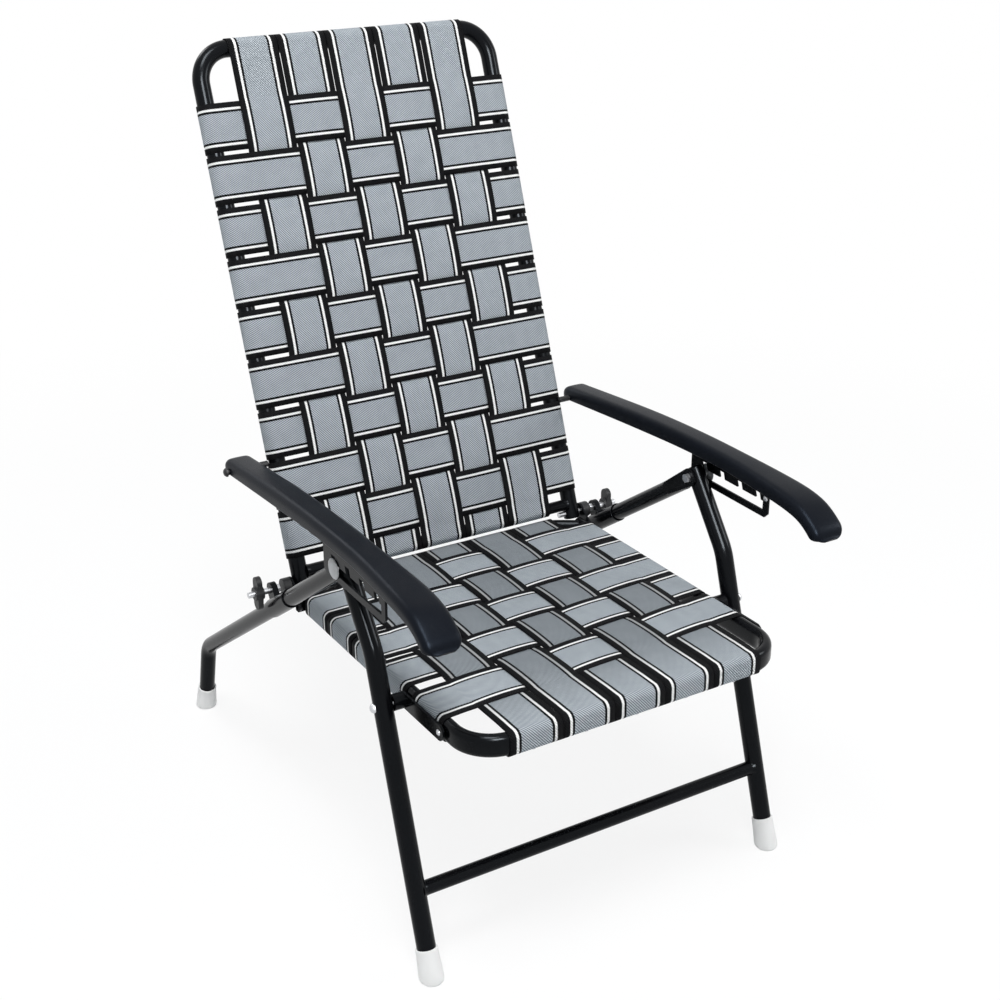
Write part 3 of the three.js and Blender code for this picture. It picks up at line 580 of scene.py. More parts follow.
def headings(path):
    """Unit direction at each station: the sum of the unit directions before and after it."""
    steps = np.diff(path, axis=0)
    steps /= np.linalg.norm(steps, axis=1, keepdims=True)
    total = np.concatenate([steps[:1], steps[:-1] + steps[1:], steps[-1:]])
    return total / np.linalg.norm(total, axis=1, keepdims=True)


def sweep(path, square_to, section, lip=0.8 * MM):
    """Carries a closed section along a flat path. A ring's point is station + x * side + y * square_to,
    where side is square to the heading and to square_to. The last lip of each end is drawn in, so that
    the cut end of a tube is rounded off."""
    first, last = headings(path)[[0, -1]]
    path = np.concatenate([path[:1], path[:1] + first * lip, path[1:-1], path[-1:] - last * lip, path[-1:]])
    scale = np.ones(len(path))
    scale[[0, -1]] = 1.0 - lip / np.abs(section).max()
    side = np.cross(headings(path), square_to)
    flat = scale[:, None, None] * section[None]
    sideways = flat[..., :1] * side[:, None]
    outwards = flat[..., 1:] * np.asarray(square_to)[None, None]
    return loft(path[:, None] + sideways + outwards)


def round_section(radius, count=32):
    """Points of a circle."""
    angle = np.linspace(0, 2 * np.pi, count, endpoint=False)
    return radius * np.stack([np.cos(angle), np.sin(angle)], axis=1)


def arc_about(centre, radius, start, stop, count):
    """Points on an arc about a centre, between two angles."""
    angle = np.linspace(start, stop, count)
    return centre + radius * np.stack([np.cos(angle), np.sin(angle)], axis=1)


def link_outline(p, radius_p, q, radius_q, count=20):
    """Outline of a plate with two round ends: an arc about p, an arc about q and their tangent lines."""
    p, q = np.asarray(p, float), np.asarray(q, float)
    line = q - p
    heading = np.arctan2(line[1], line[0])
    spread = np.arccos((radius_p - radius_q) / np.linalg.norm(line))
    round_p = arc_about(p, radius_p, heading + spread, heading + 2 * np.pi - spread, count)
    round_q = arc_about(q, radius_q, heading - spread, heading + spread, count)
    return np.concatenate([round_p, round_q])


def plate(outline, x0, x1, edge=0.5 * MM):
    """A flat plate drawn in side view from x0 to x1. Its rims are drawn in along the outline's normals."""
    tangent = np.roll(outline, -1, axis=0) - np.roll(outline, 1, axis=0)
    tangent /= np.linalg.norm(tangent, axis=1, keepdims=True)
    inset = outline - edge * np.stack([tangent[:, 1], -tangent[:, 0]], axis=1)
    low, high = min(x0, x1), max(x0, x1)
    layers = [(low, inset), (low + edge, outline), (high - edge, outline), (high, inset)]
    return loft(np.stack([np.column_stack([np.full(len(ring), x), ring]) for x, ring in layers]))


print("path helpers ready")

# %% [markdown]
# ## Front legs and their crossbar
# Each front leg is one tube that leans back, bends once above the seat pivot and ends at the armrest
# pivot. The crossbar is welded between the legs. Side-view points are written as (depth, height), as
# on a maker's drawing, and the tubes are swept along them.

# %% Front legs
TUBE_R = 11 * MM
FRONT_TUBE_R = 11.5 * MM
LEG_X = 250 * MM
FRONT_FOOT = np.array([-329.548, 0.0]) * MM
SEAT_PIVOT = np.array([-225.324, 317.0]) * MM
LEG_PIVOT = np.array([-143.924, 460.0]) * MM
BACK_HINGE = np.array([84.676, 327.0]) * MM
ARMREST_PIVOT = np.array([140.534, 476.399]) * MM
FOOT_FLOOR = 8 * MM
LEG_LEAN, UPPER_LEAN = 18.2, 36.8
LEG_BEND_UP, LEG_BEND_R = 378 * MM, 70 * MM
PAST_PIVOT = 12 * MM
LEG_CUT = 2.5 * MM


def leaning(degrees):
    """Unit side-view direction that leans back from the vertical: (sine, cosine) of the lean."""
    return np.array([np.sin(np.radians(degrees)), np.cos(np.radians(degrees))])


def at_x(x, points):
    """Side-view points as points in space at one distance from the middle."""
    points = np.atleast_2d(points)
    return np.column_stack([np.full(len(points), x), points])


leg_lean = leaning(LEG_LEAN)
leg_start = FRONT_FOOT + leg_lean * FOOT_FLOOR
leg_bend = FRONT_FOOT + leg_lean * (LEG_BEND_UP / leg_lean[1])
leg_top = LEG_PIVOT + leaning(UPPER_LEAN) * PAST_PIVOT
for side_name, way in SIDES:
    leg_path = bent_path(at_x(way * LEG_X, [leg_start, leg_bend, leg_top]), LEG_BEND_R)
    leg = sweep(leg_path, ACROSS, round_section(FRONT_TUBE_R), lip=LEG_CUT)
    make_piece(f"front_leg_tube_{side_name}", leg, frame_paint, "front_frame", [f"front_leg_{side_name}"])
print("leg bend at", leg_bend)

# %% [markdown]
# A bar that is welded to a round tube has a small fillet of weld at each end. Here the bar's own
# radius grows there, which gives the fillet without a second mesh.

# %% Front crossbar
CROSSBAR_UP, CROSSBAR_R = 104 * MM, 9 * MM
CROSSBAR_GAP = 6 * MM


def welded_bar(at, half, radius, flare=2.5 * MM, reach=8 * MM):
    """A round bar along X whose radius grows by flare * (1 - d / reach)^2 near each end, where d is the
    distance from the end: the fillet of the weld."""
    near = np.linspace(0, 1, 7) * reach
    x = np.concatenate([-half + near, half - near[::-1]])
    grow = np.concatenate([(1 - near / reach) ** 2, (1 - near[::-1] / reach) ** 2]) * flare
    rings = (radius + grow)[:, None, None] * round_section(1.0)[None]
    along = np.broadcast_to(x[:, None, None], rings.shape[:2] + (1,))
    return loft(np.concatenate([along, rings + at], axis=2))


crossbar_at = FRONT_FOOT + leg_lean * (CROSSBAR_UP / leg_lean[1])
crossbar = welded_bar(crossbar_at, LEG_X - CROSSBAR_GAP, CROSSBAR_R)
make_piece("front_welded_bar", crossbar, frame_paint, "front_frame", ["front_crossbar"])
print("crossbar at", crossbar_at)

# %% [markdown]
# ## Rear legs
# The rear leg hangs from the front leg's upper end by a flat tongue that is welded to the inner side
# of its tube. It runs down past the back hinge, bends near the floor and stands on its own foot.

# %% Rear legs
REAR_LEG_X = LEG_X - 1 * MM
REAR_FOOT = np.array([378.130, 0.0]) * MM
REAR_HEADING = np.array([0.819527, -0.573040])
REAR_DROP, REAR_BEND_R = 342 * MM, 45 * MM
REAR_TUBE_FROM = 26 * MM
REAR_CUT = 2.0 * MM
TONGUE_TO, TONGUE_T = 54 * MM, 3 * MM
TONGUE_TOP_R, TONGUE_LOW_R = 12 * MM, 9 * MM
TONGUE_OUTER = LEG_X - TUBE_R - 0.3 * MM

rear_start = LEG_PIVOT + REAR_HEADING * REAR_TUBE_FROM
rear_bend = LEG_PIVOT + REAR_HEADING * (REAR_DROP / -REAR_HEADING[1])
rear_rise = (rear_bend - REAR_FOOT) / np.linalg.norm(rear_bend - REAR_FOOT)
rear_end = REAR_FOOT + rear_rise * FOOT_FLOOR
tongue_shape = link_outline(LEG_PIVOT, TONGUE_TOP_R, LEG_PIVOT + REAR_HEADING * TONGUE_TO, TONGUE_LOW_R)
for side_name, way in SIDES:
    rear_path = bent_path(at_x(way * REAR_LEG_X, [rear_start, rear_bend, rear_end]), REAR_BEND_R)
    rear_tube = sweep(rear_path, ACROSS, round_section(TUBE_R), lip=REAR_CUT)
    tongue = plate(tongue_shape, way * TONGUE_OUTER, way * (TONGUE_OUTER - TONGUE_T))
    body = f"rear_leg_{side_name}"
    make_piece(f"rear_leg_tube_{side_name}", together(rear_tube, tongue), frame_paint, body, [body])
print("rear bend at", rear_bend)

# %% [markdown]
# ## Foot caps
# White plastic cups are pushed on the four tube ends. They are turned parts, but the tube meets the
# floor at a slant and the cup stands flat. So the rings turn from level at the floor to square with
# the tube at the rim.

# %% Foot caps
CUP_ALONG = np.array([0, 0, 0, 1.2, 3, 6, 14, 26, 36, 38.4, 39.6, 40, 40, 39, 30]) * MM
CUP_RADIUS = MM * np.array(
    [0.5, 9, 13.2, 14.4, 15.0, 15.0, 14.5, 13.8, 13.4, 13.5, 13.2, 12.6, 11.5, 11.1, 11.05]
)
CUP_LEVEL = 14 * MM


def foot_cup(x, foot, rise):
    """Rings up a slanting axis. Ring k has centre foot + rise * CUP_ALONG and radius CUP_RADIUS, and its
    plane's tilt goes from level at the floor to square with the axis at CUP_LEVEL."""
    share = np.clip(CUP_ALONG / CUP_LEVEL, 0, 1)[:, None]
    axis = np.array([0.0, *rise])
    up = (1 - share) * np.array([0.0, 0.0, 1.0]) + share * axis
    up /= np.linalg.norm(up, axis=1, keepdims=True)
    deep = np.cross(up, ACROSS)
    circle = round_section(1.0, 40)
    ring = circle[None, :, :1] * ACROSS + circle[None, :, 1:] * deep[:, None]
    centre = np.array([x, *foot]) + CUP_ALONG[:, None] * axis
    return loft(centre[:, None] + CUP_RADIUS[:, None, None] * ring)


for side_name, way in SIDES:
    cup = foot_cup(way * LEG_X, FRONT_FOOT, leg_lean)
    make_piece(f"front_cup_{side_name}", cup, foot_plastic, "front_frame", [f"front_foot_{side_name}"])
    cup = foot_cup(way * REAR_LEG_X, REAR_FOOT, rear_rise)
    body = f"rear_leg_{side_name}"
    make_piece(f"rear_cup_{side_name}", cup, foot_plastic, body, [f"rear_foot_{side_name}"])
print("cup rings", len(CUP_ALONG))

# %% [markdown]
# ## Axes of the two panels
# The seat and the back are both flat panels that lean. Their tubes and straps are easier to write in
# the panel's own axes: across, along, and out of its face. One small class turns such points into
# points of the shared frame.

# %% Panel axes
SEAT_SLOPE = np.radians(1.2)
BACK_LEAN = np.radians(20.5)


class Panel:
    """A panel's own axes: a point is origin + x * across + y * along + z * outward."""

    def __init__(self, origin, tilt):
        self.origin = np.array([0.0, *origin])
        self.along = np.array([0.0, np.cos(tilt), np.sin(tilt)])
        self.outward = np.array([0.0, -np.sin(tilt), np.cos(tilt)])

    def world(self, local):
        """Panel coordinates as points in the shared frame."""
        x, y, z = np.split(np.asarray(local, float), 3, axis=-1)
        return self.origin + x * ACROSS + y * self.along + z * self.outward


seat = Panel(SEAT_PIVOT, -SEAT_SLOPE)
back = Panel(BACK_HINGE, np.pi / 2 - BACK_LEAN)
print("seat faces", seat.outward, "back faces", back.outward)

# %% [markdown]
# ## Seat frame
# The seat is a U of tube that is flattened to an oval, so the webbing has a flatter edge to lie on. An
# ear for the back hinge is welded to each rear end by a short web. A bowed bar closes the U behind.

# %% Seat frame
RAIL_W, RAIL_H = 15 * MM, 28 * MM
RAIL_X = LEG_X - 38 * MM
SEAT_FRONT, RAIL_END = -144 * MM, 296 * MM
SEAT_BEND_R = 46 * MM
SEAT_CUT = 1.5 * MM
EAR_FROM, EAR_TO = 221.8 * MM, 224.8 * MM
EAR_HINGE_R, EAR_ROOT_R = 11 * MM, 12 * MM
WEB_LONG, WEB_TALL = 8 * MM, 14 * MM
SEAT_REAR_BAR = 305 * MM
REAR_BAR_R = 7 * MM
REAR_BAR_UP = RAIL_H / 2 - REAR_BAR_R
REAR_BAR_STRAIGHT, REAR_BAR_BOW = 176 * MM, 24 * MM
REAR_BAR_END = RAIL_X - 6 * MM
REAR_BAR_BEND_R = 20 * MM


def oval_section(width, height, count=12):
    """A flat oval: two half circles of the width, moved apart by height - width."""
    angle = np.linspace(0, np.pi, count)
    top = np.stack([np.cos(angle), np.sin(angle)], axis=1) * width / 2 + [0, (height - width) / 2]
    return np.concatenate([top, -top])


seat_u = [(-RAIL_X, RAIL_END, 0), (-RAIL_X, SEAT_FRONT, 0), (RAIL_X, SEAT_FRONT, 0), (RAIL_X, RAIL_END, 0)]
seat_path = bent_path(seat.world(seat_u), SEAT_BEND_R, 18)
rails = sweep(seat_path, seat.outward, oval_section(RAIL_W, RAIL_H), lip=SEAT_CUT)
ear_root = seat.world((0, RAIL_END - 6 * MM, -0.3 * MM))[1:]
ear = link_outline(BACK_HINGE, EAR_HINGE_R, ear_root, EAR_ROOT_R)
web_box = np.array([(0, -WEB_LONG, 0), (0, -WEB_LONG, -WEB_TALL), (0, 0, -WEB_TALL), (0, 0, 0)])
web = seat.world(web_box + [0, RAIL_END, 0])[:, 1:]
ears = [plate(ear, way * EAR_FROM, way * EAR_TO) for side_name, way in SIDES]
ears += [plate(web, way * RAIL_X, way * EAR_TO) for side_name, way in SIDES]
seat_shape = together(rails, *ears)
make_piece("seat_oval_frame", seat_shape, frame_paint, "seat", ["seat_frame"])

bowed = REAR_BAR_BOW * (REAR_BAR_END - REAR_BAR_STRAIGHT) / (RAIL_X - REAR_BAR_STRAIGHT)
left_half = [(-REAR_BAR_END, SEAT_REAR_BAR - bowed), (-REAR_BAR_STRAIGHT, SEAT_REAR_BAR)]
bar_corners = left_half + [(-x, y) for x, y in left_half[::-1]]
bar_path = bent_path(seat.world([(x, y, REAR_BAR_UP) for x, y in bar_corners]), REAR_BAR_BEND_R)
rear_bar = sweep(bar_path, seat.outward, round_section(REAR_BAR_R))
make_piece("seat_bar_behind", rear_bar, frame_paint, "seat", ["seat_rear_bar"])
print("seat frame points", len(seat_shape[0]))

# %% [markdown]
# ## Back frame
# The back is a U of round tube upside down. A thin bar is welded across it just above the hinge, flush
# with the front of the tube, and the long straps of the back turn round that bar.

# %% Back frame
BACK_X = LEG_X - 41 * MM
BACK_TOP, BACK_LOW = 682 * MM, -8 * MM
BACK_BEND_R = 42 * MM
BACK_CUT = 1.5 * MM
BACK_BAR_R = 8 * MM
BACK_BAR_UP, BACK_BAR_FORWARD = 13 * MM, TUBE_R - BACK_BAR_R
BACK_BAR_GAP = 8 * MM

back_u = [(-BACK_X, BACK_LOW, 0), (-BACK_X, BACK_TOP, 0), (BACK_X, BACK_TOP, 0), (BACK_X, BACK_LOW, 0)]
back_path = bent_path(back.world(back_u), BACK_BEND_R, 20)
back_tube = sweep(back_path, back.outward, round_section(TUBE_R), lip=BACK_CUT)
make_piece("back_round_frame", back_tube, frame_paint, "back", ["back_frame"])
back_bar_at = back.world((0, BACK_BAR_UP, BACK_BAR_FORWARD))[1:]
back_bar = welded_bar(back_bar_at, BACK_X - BACK_BAR_GAP, BACK_BAR_R, flare=1.5 * MM)
make_piece("back_low_bar", back_bar, frame_paint, "back", ["back_crossbar"])
print("back frame points", len(back_tube[0]))

# %% [markdown]
# ## Armrests
# An armrest is a moulded plastic channel, open below so that the notched rack can sit in it. Its top
# line rises from the back tube, runs level and drops at the hand, where it also grows wider. The top
# and the underside are smooth curves through a few stations. A section is carried between them:
# rounded upper edges, a slight crown, and two walls with a hollow that closes towards both ends.

# %% Armrest lines
ARMREST_X = LEG_X + 7 * MM
REAR_REACH = ARMREST_PIVOT - LEG_PIVOT + np.array([24, 11]) * MM
STATIONS = np.array([
    (REAR_REACH[0], REAR_REACH[1], 17 * MM),
    (124 * MM, 44 * MM, 19 * MM),
    (-8 * MM, 50 * MM, 17.5 * MM),
    (-127 * MM, 49 * MM, 17.5 * MM),
    (-205 * MM, 41 * MM, 16.5 * MM),
    (-250 * MM, 13 * MM, 12 * MM),
])
LOW_TIP = -242 * MM
ARMREST_ROWS = 84


def smooth_line(points, count):
    """A curve through points: between two of them p1, p2 with neighbours p0, p3 and share t it is
    0.5 * (2 p1 + (p2 - p0) t + (2 p0 - 5 p1 + 4 p2 - p3) t^2 + (3 p1 - p0 - 3 p2 + p3) t^3)."""
    padded_points = np.concatenate([points[:1], points, points[-1:]])
    u = np.linspace(0, len(points) - 1, count)
    i = np.minimum(u.astype(int), len(points) - 2)
    t = (u - i)[:, None]
    p0, p1, p2, p3 = (padded_points[i + k] for k in range(4))
    cubic = (2 * p0 - 5 * p1 + 4 * p2 - p3) * t**2 + (3 * p1 - p0 - 3 * p2 + p3) * t**3
    return 0.5 * (2 * p1 + (p2 - p0) * t + cubic)


def armrest_lines():
    """Top and underside points, and how far along the top each is. They are closer near both ends: the
    share of the length is 0.5 - 0.5 * cos(pi * t), with t in even steps from 0 to 1."""
    top = smooth_line(STATIONS[:, :2] + LEG_PIVOT, ARMREST_ROWS)
    low = STATIONS[:, :2] - np.column_stack([np.zeros(len(STATIONS)), STATIONS[:, 2]])
    low[:, 0] = np.maximum(low[:, 0], LOW_TIP)
    bottom = smooth_line(low + LEG_PIVOT, ARMREST_ROWS)
    run = np.concatenate([[0], np.cumsum(np.linalg.norm(np.diff(top, axis=0), axis=1))])
    wanted = run[-1] * (0.5 - 0.5 * np.cos(np.pi * np.linspace(0, 1, ARMREST_ROWS)))
    top = np.column_stack([np.interp(wanted, run, top[:, k]) for k in (0, 1)])
    bottom = np.column_stack([np.interp(wanted, run, bottom[:, k]) for k in (0, 1)])
    return top, bottom, wanted


print("armrest length", armrest_lines()[2][-1])

# %% [markdown]
# The section is a closed loop of arcs and lines with the same number of points in every ring, so the
# rings can be lofted. Near both ends the whole section is drawn in along a quarter circle, which
# rounds the moulding off without a second shape.

# %% Armrest section
ARMREST_HALF = 18.5 * MM
ARMREST_WALL = 5 * MM
HAND_FLARE = 4.5 * MM
FLARE_FROM, FLARE_OVER = 50 * MM, 150 * MM
END_ROUND, END_LEFT = 17 * MM, 0.98
MOST_DRAWN = 0.42
UPPER_ROUND, LOWER_ROUND = 9 * MM, 2.0 * MM
HOLLOW_FROM, HOLLOW_TO = LEG_PIVOT[0] - 178 * MM, ARMREST_PIVOT[0] - 50 * MM
HOLLOW_RAMP = 6 * MM
CROWN, CROWN_OVER = 1.2 * MM, 0.75


def armrest_rings(x):
    """Rings from the rear end to the tip. A ring lies between a top and an underside point. Near both
    ends it is drawn in by END_ROUND * (1 - sqrt(1 - s^2)), where s grows over the last END_ROUND. In
    front of the leg the half width grows by HAND_FLARE * f^2 * (3 - 2 f), with f from 0 to 1."""
    top, bottom, run = armrest_lines()
    s = np.clip(1 - np.minimum(run, run[-1] - run) / END_ROUND, 0, 1)
    drawn = END_ROUND * (1 - np.sqrt(1 - (END_LEFT * s) ** 2))
    tall = np.linalg.norm(top - bottom, axis=1)
    upward = (top - bottom) / tall[:, None]
    forward = np.clip((LEG_PIVOT[0] - FLARE_FROM - top[:, 0]) / FLARE_OVER, 0, 1)
    half = ARMREST_HALF + HAND_FLARE * forward * forward * (3 - 2 * forward) - drawn
    shortened = np.minimum(drawn, MOST_DRAWN * tall)
    base = bottom + upward * shortened[:, None]
    half, rise = half[:, None], (tall - 2 * shortened)[:, None]
    bend = np.minimum(UPPER_ROUND, 0.5 * rise)
    small = np.minimum(LOWER_ROUND, 0.2 * rise)
    arc = np.linspace(0, np.pi / 2, 7)[None]
    right_low = (half - small + small * np.sin(arc), small - small * np.cos(arc))
    right_top = (half - bend + bend * np.cos(arc), rise - bend + bend * np.sin(arc))
    flat = np.linspace(1, -1, 9)[None, 1:-1]
    over = (flat * (half - bend), rise + 0 * flat)
    left_top = (-half + bend - bend * np.sin(arc), rise - bend + bend * np.cos(arc))
    left_low = (-half + small - small * np.cos(arc), small - small * np.sin(arc))
    depth = bottom[:, :1]
    opened = np.clip(np.minimum(depth - HOLLOW_FROM, HOLLOW_TO - depth) / HOLLOW_RAMP, 0, 1)
    hollow = opened * (rise - ARMREST_WALL)
    inside_across = (half - ARMREST_WALL) * np.array([-1.0, -1.0, 1.0, 1.0])
    inside = (inside_across, hollow * np.array([0.0, 1.0, 1.0, 0.0]))
    loops = [right_low, right_top, over, left_top, left_low, inside]
    width = np.concatenate([loop[0] for loop in loops], axis=1)
    lift = np.concatenate([loop[1] for loop in loops], axis=1)
    crowned = np.where(lift > CROWN_OVER * rise, CROWN * (1 - (width / half) ** 2), 0.0)
    crowned[:, -inside_across.shape[1]:] = 0.0
    side_view = base[:, None] + (lift + crowned)[..., None] * upward[:, None]
    return np.concatenate([x + width[..., None], side_view], axis=2)


for side_name, way in SIDES:
    rings = armrest_rings(way * ARMREST_X)
    body = f"armrest_{side_name}"
    make_piece(f"armrest_moulding_{side_name}", loft(rings), armrest_plastic, body, [body], sharp=50.0)
print("armrest rings", rings.shape)

# %% [markdown]
# ## Bolts, knobs, brackets and racks
# These small parts already have the right shape as solids. A copy of each is merged into one skin,
# its flat faces are joined, and a fine bevel catches the light along the edges. Two of them are made
# of two materials on the real chair: the hinge bolt has a dark spacer, and a bright rivet holds the
# seat bracket. There the outer faces of the copy get a second finish.

# %% Hardware
HARDWARE = {
    "leg_pivot_bolt": zinc,
    "seat_pivot_bolt": zinc,
    "hinge_bolt": zinc,
    "lock_bolt": zinc,
    "armrest_bolt": knob_plastic,
    "pin_cap": cap_plastic,
    "seat_bracket": frame_paint,
    "hinge_slider": frame_paint,
    "armrest_rack": frame_paint,
    "wing_knob": knob_plastic,
}
FINE_BEVEL = 0.5 * MM
MERGE_WITHIN = 1e-6
FLAT_WITHIN = np.radians(2)
BRACKET_FACE, BRACKET_RIVET_Y = EAR_TO + 0.2 * MM, -295 * MM


def dressed_copy(node, finish):
    """A merged copy of a solid with its flat faces joined and its edges rounded by a bevel."""
    work = bmesh.new()
    work.from_mesh(frame["nodes"][node].data)
    bmesh.ops.remove_doubles(work, verts=work.verts, dist=MERGE_WITHIN)
    bmesh.ops.dissolve_limit(work, angle_limit=FLAT_WITHIN, verts=work.verts, edges=work.edges)
    work.verts.index_update()
    points = np.array([vertex.co for vertex in work.verts])
    faces = [[vertex.index for vertex in face.verts] for face in work.faces]
    work.free()
    bodies = frame["record"]["behaviour"]["bodies"]
    body = next(name for name, members in bodies.items() if node in members)
    return make_piece(f"{node}_dressed", (points, faces), finish, body, [node], sharp=35.0, bevel=FINE_BEVEL)


def second_finish(node, finish, beyond, ahead_of=np.inf):
    """Gives a second finish to the faces of a copy whose |x| is over beyond and whose y is under ahead_of."""
    mesh = bpy.data.objects[f"{node}_dressed"].data
    mesh.materials.append(finish)
    middle = np.empty(len(mesh.polygons) * 3)
    mesh.polygons.foreach_get("center", middle)
    chosen = (np.abs(middle[::3]) > beyond) & (middle[1::3] < ahead_of)
    mesh.polygons.foreach_set("material_index", chosen.astype(np.int32))
    mesh.update()
    print(node, "second finish on", int(chosen.sum()), "faces")


for node_name, finish in HARDWARE.items():
    for side_name, way in SIDES:
        dressed_copy(f"{node_name}_{side_name}", finish)
for side_name, way in SIDES:
    second_finish(f"hinge_bolt_{side_name}", knob_plastic, EAR_TO)
    second_finish(f"seat_bracket_{side_name}", zinc, BRACKET_FACE, BRACKET_RIVET_Y)
print("hardware", len(HARDWARE) * len(SIDES))

# %% [markdown]
# ## The line of a strap
# Each strap is one length of tape: it goes round a tube, over and under the straps that cross it, and
# round the tube on the other side, where a rivet holds its end. Only the line down its middle has to
# be worked out, then the tape is that line drawn out sideways. The weave is a wave that is highest in
# the middle of each crossing.

# %% Strap line
WEB_T = 1.1 * MM
TUBE_TO_TAPE = 0.9 * MM
TAIL = np.radians(120)
WAVE, WAVE_POWER = 1.9 * MM, 0.6
WOVEN_LIFT = 0.7 * MM
WAVE_FADE = 26 * MM
LINE_STEP = 2.5 * MM


class Turn:
    """Where a strap goes round a tube: its place along the strap, its depth, its radius, and half the
    straight side of an oval tube."""

    def __init__(self, along, depth, radius, straight=0.0):
        self.along, self.depth, self.straight = along, depth, straight
        self.radius = radius + TUBE_TO_TAPE

    def level(self):
        """Height of the strap's middle on top of the tube."""
        return self.depth + self.straight + self.radius

    def wrap(self, way, above=12, below=14):
        """The strap's path from the top of the tube round its outer side and under it, as (along, height).
        A point is the centre of the upper or the lower half circle, plus radius * (cosine, sine)."""
        angle = np.concatenate([np.linspace(np.pi / 2, 0, above), np.linspace(0, -TAIL, below)])
        shift = np.repeat([self.straight, -self.straight], [above, below])
        along = self.along + way * self.radius * np.cos(angle)
        return np.column_stack([along, self.depth + shift + self.radius * np.sin(angle)])


def strap_line(start, end, crossings, overs):
    """The strap's middle as (along, height). Between the two tubes the height is the tubes' level plus
    WOVEN_LIFT plus WAVE * sign(c) * |c|^WAVE_POWER with c = cos(phase), where the phase grows by pi from
    one crossing to the next, so it is highest over one strap and lowest under the next. Half a step past
    the outer crossings the wave ends, and over WAVE_FADE before a tube the strap comes to its level."""
    run = np.linspace(start.along, end.along, int((end.along - start.along) / LINE_STEP))[1:-1]
    pitch = np.diff(crossings).mean()
    count = len(crossings)
    marks = np.concatenate([[crossings[0] - pitch / 2], crossings, [crossings[-1] + pitch / 2]])
    phase = np.interp(run, marks, np.concatenate([[-0.5], np.arange(count), [count - 0.5]]) * np.pi)
    c = np.cos(phase) * (1 if overs[0] else -1)
    fade = np.clip(np.minimum(run - start.along, end.along - run) / WAVE_FADE, 0, 1)
    fade = fade * fade * (3 - 2 * fade)
    level = np.interp(run, [start.along, end.along], [start.level(), end.level()])
    height = level + fade * (WOVEN_LIFT + WAVE * np.sign(c) * np.abs(c) ** WAVE_POWER)
    return np.concatenate([start.wrap(-1)[::-1], np.column_stack([run, height]), end.wrap(1)])


print("tape", WEB_T, "m thick, wave", WAVE, "m")

# %% [markdown]
# ## The tape along that line
# The line is drawn out to both edges of the tape, with u and v for the twill. The whole panel hangs a
# few millimetres below the level of its frame, so the same sag is added to every strap. A cloth
# simulation could find that sag, but the tape is stretched tight, and a formula keeps the weave clean.

# %% Tape
TAPE_COLUMNS = np.linspace(-1, 1, 9)
EDGE_DROP = 0.25 * MM


def sagging(half_x, low_y, high_y, drop):
    """How far the panel hangs: -drop * (1 - (x / half)^2) * (1 - t^2), with t from -1 to 1 along it."""
    middle, half_y = (low_y + high_y) / 2, (high_y - low_y) / 2

    def sag(x, y):
        """The sag at points of the panel."""
        t = np.clip((y - middle) / half_y, -1, 1)
        w = np.clip(x / half_x, -1, 1)
        return -drop * (1 - w**2) * (1 - t**2)

    return sag


def strap_piece(name, line, place, skew, width, panel, lengthwise, sag, body, rests, finish):
    """A strap: its middle line drawn out to both edges, sagged with the panel, with u across and v along.
    Its place across the panel is place + skew * along, because hand-woven straps are not quite square,
    and its edges lie EDGE_DROP lower than its middle."""
    run = np.concatenate([[0], np.cumsum(np.linalg.norm(np.diff(line, axis=0), axis=1))])
    grid = (len(line), len(TAPE_COLUMNS))
    across = place + skew * line[:, :1] + TAPE_COLUMNS * width / 2
    along = np.broadcast_to(line[:, :1], grid)
    height = np.broadcast_to(line[:, 1:], grid) - EDGE_DROP * TAPE_COLUMNS**2
    x, y = (across, along) if lengthwise else (along, across)
    points = panel.world(np.stack([x, y, height + sag(x, y)], axis=-1)).reshape(-1, 3)
    mesh = bpy.data.meshes.new(name)
    mesh.from_pydata(points.tolist(), [], ring_faces(*grid, closed=False))
    mesh.polygons.foreach_set("use_smooth", np.ones(len(mesh.polygons), bool))
    corners = np.empty(len(mesh.loops), int)
    mesh.loops.foreach_get("vertex_index", corners)
    u = np.broadcast_to(TAPE_COLUMNS / 2 + 0.5, grid).reshape(-1)
    v = np.broadcast_to(run[:, None] / width, grid).reshape(-1)
    layer = mesh.uv_layers.new(name="strap")
    layer.data.foreach_set("uv", np.column_stack([u, v])[corners].astype(np.float32).ravel())
    mesh.materials.append(finish)
    strap = new_object(name, mesh)
    thick = strap.modifiers.new("tape_thickness", "SOLIDIFY")
    thick.thickness = WEB_T
    thick.offset = 0.0
    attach(strap, body)
    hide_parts(name.replace("_tape", "_strap"))
    return strap


print("tape columns", len(TAPE_COLUMNS))

# %% [markdown]
# ## Weaving the back and the seat
# Nine straps cross five on the back, and five cross five on the seat. A strap lies over a crossing
# where the two counts add up to an even number, or an odd one, and this alone makes the basket weave.
# The front cross straps of the seat are wider and a little askew, as in the photograph. The long straps
# are taken to be folded double where they turn round the two thin bars, so there they stand off more.

# %% Weave
FOLDED_END = 0.8 * MM
BACK_LONG_W, BACK_CROSS_W = 66.5 * MM, 60.5 * MM
SEAT_LONG_W, SEAT_CROSS_W = 68.5 * MM, 65.8 * MM
BACK_SAG, SEAT_SAG = 2 * MM, 4 * MM
FROM_MIDDLE = np.arange(5) - 2
BACK_LONG_PITCH, SEAT_LONG_PITCH = 67.8 * MM, 69.5 * MM
BACK_CROSSES_MM = 64 + 65 * np.arange(9)
SEAT_CROSSES_MM = np.concatenate([[-38.8], 40.3 + 66.8 * np.arange(4)])
SEAT_SKEWS = np.array([0.050, 0.030, 0.010, 0.0, 0.0])
SEAT_WIDER = np.array([4.5, 1.5, 0.0, 0.0, 0.0]) * MM
RAIL_STRAIGHT = (RAIL_H - RAIL_W) / 2


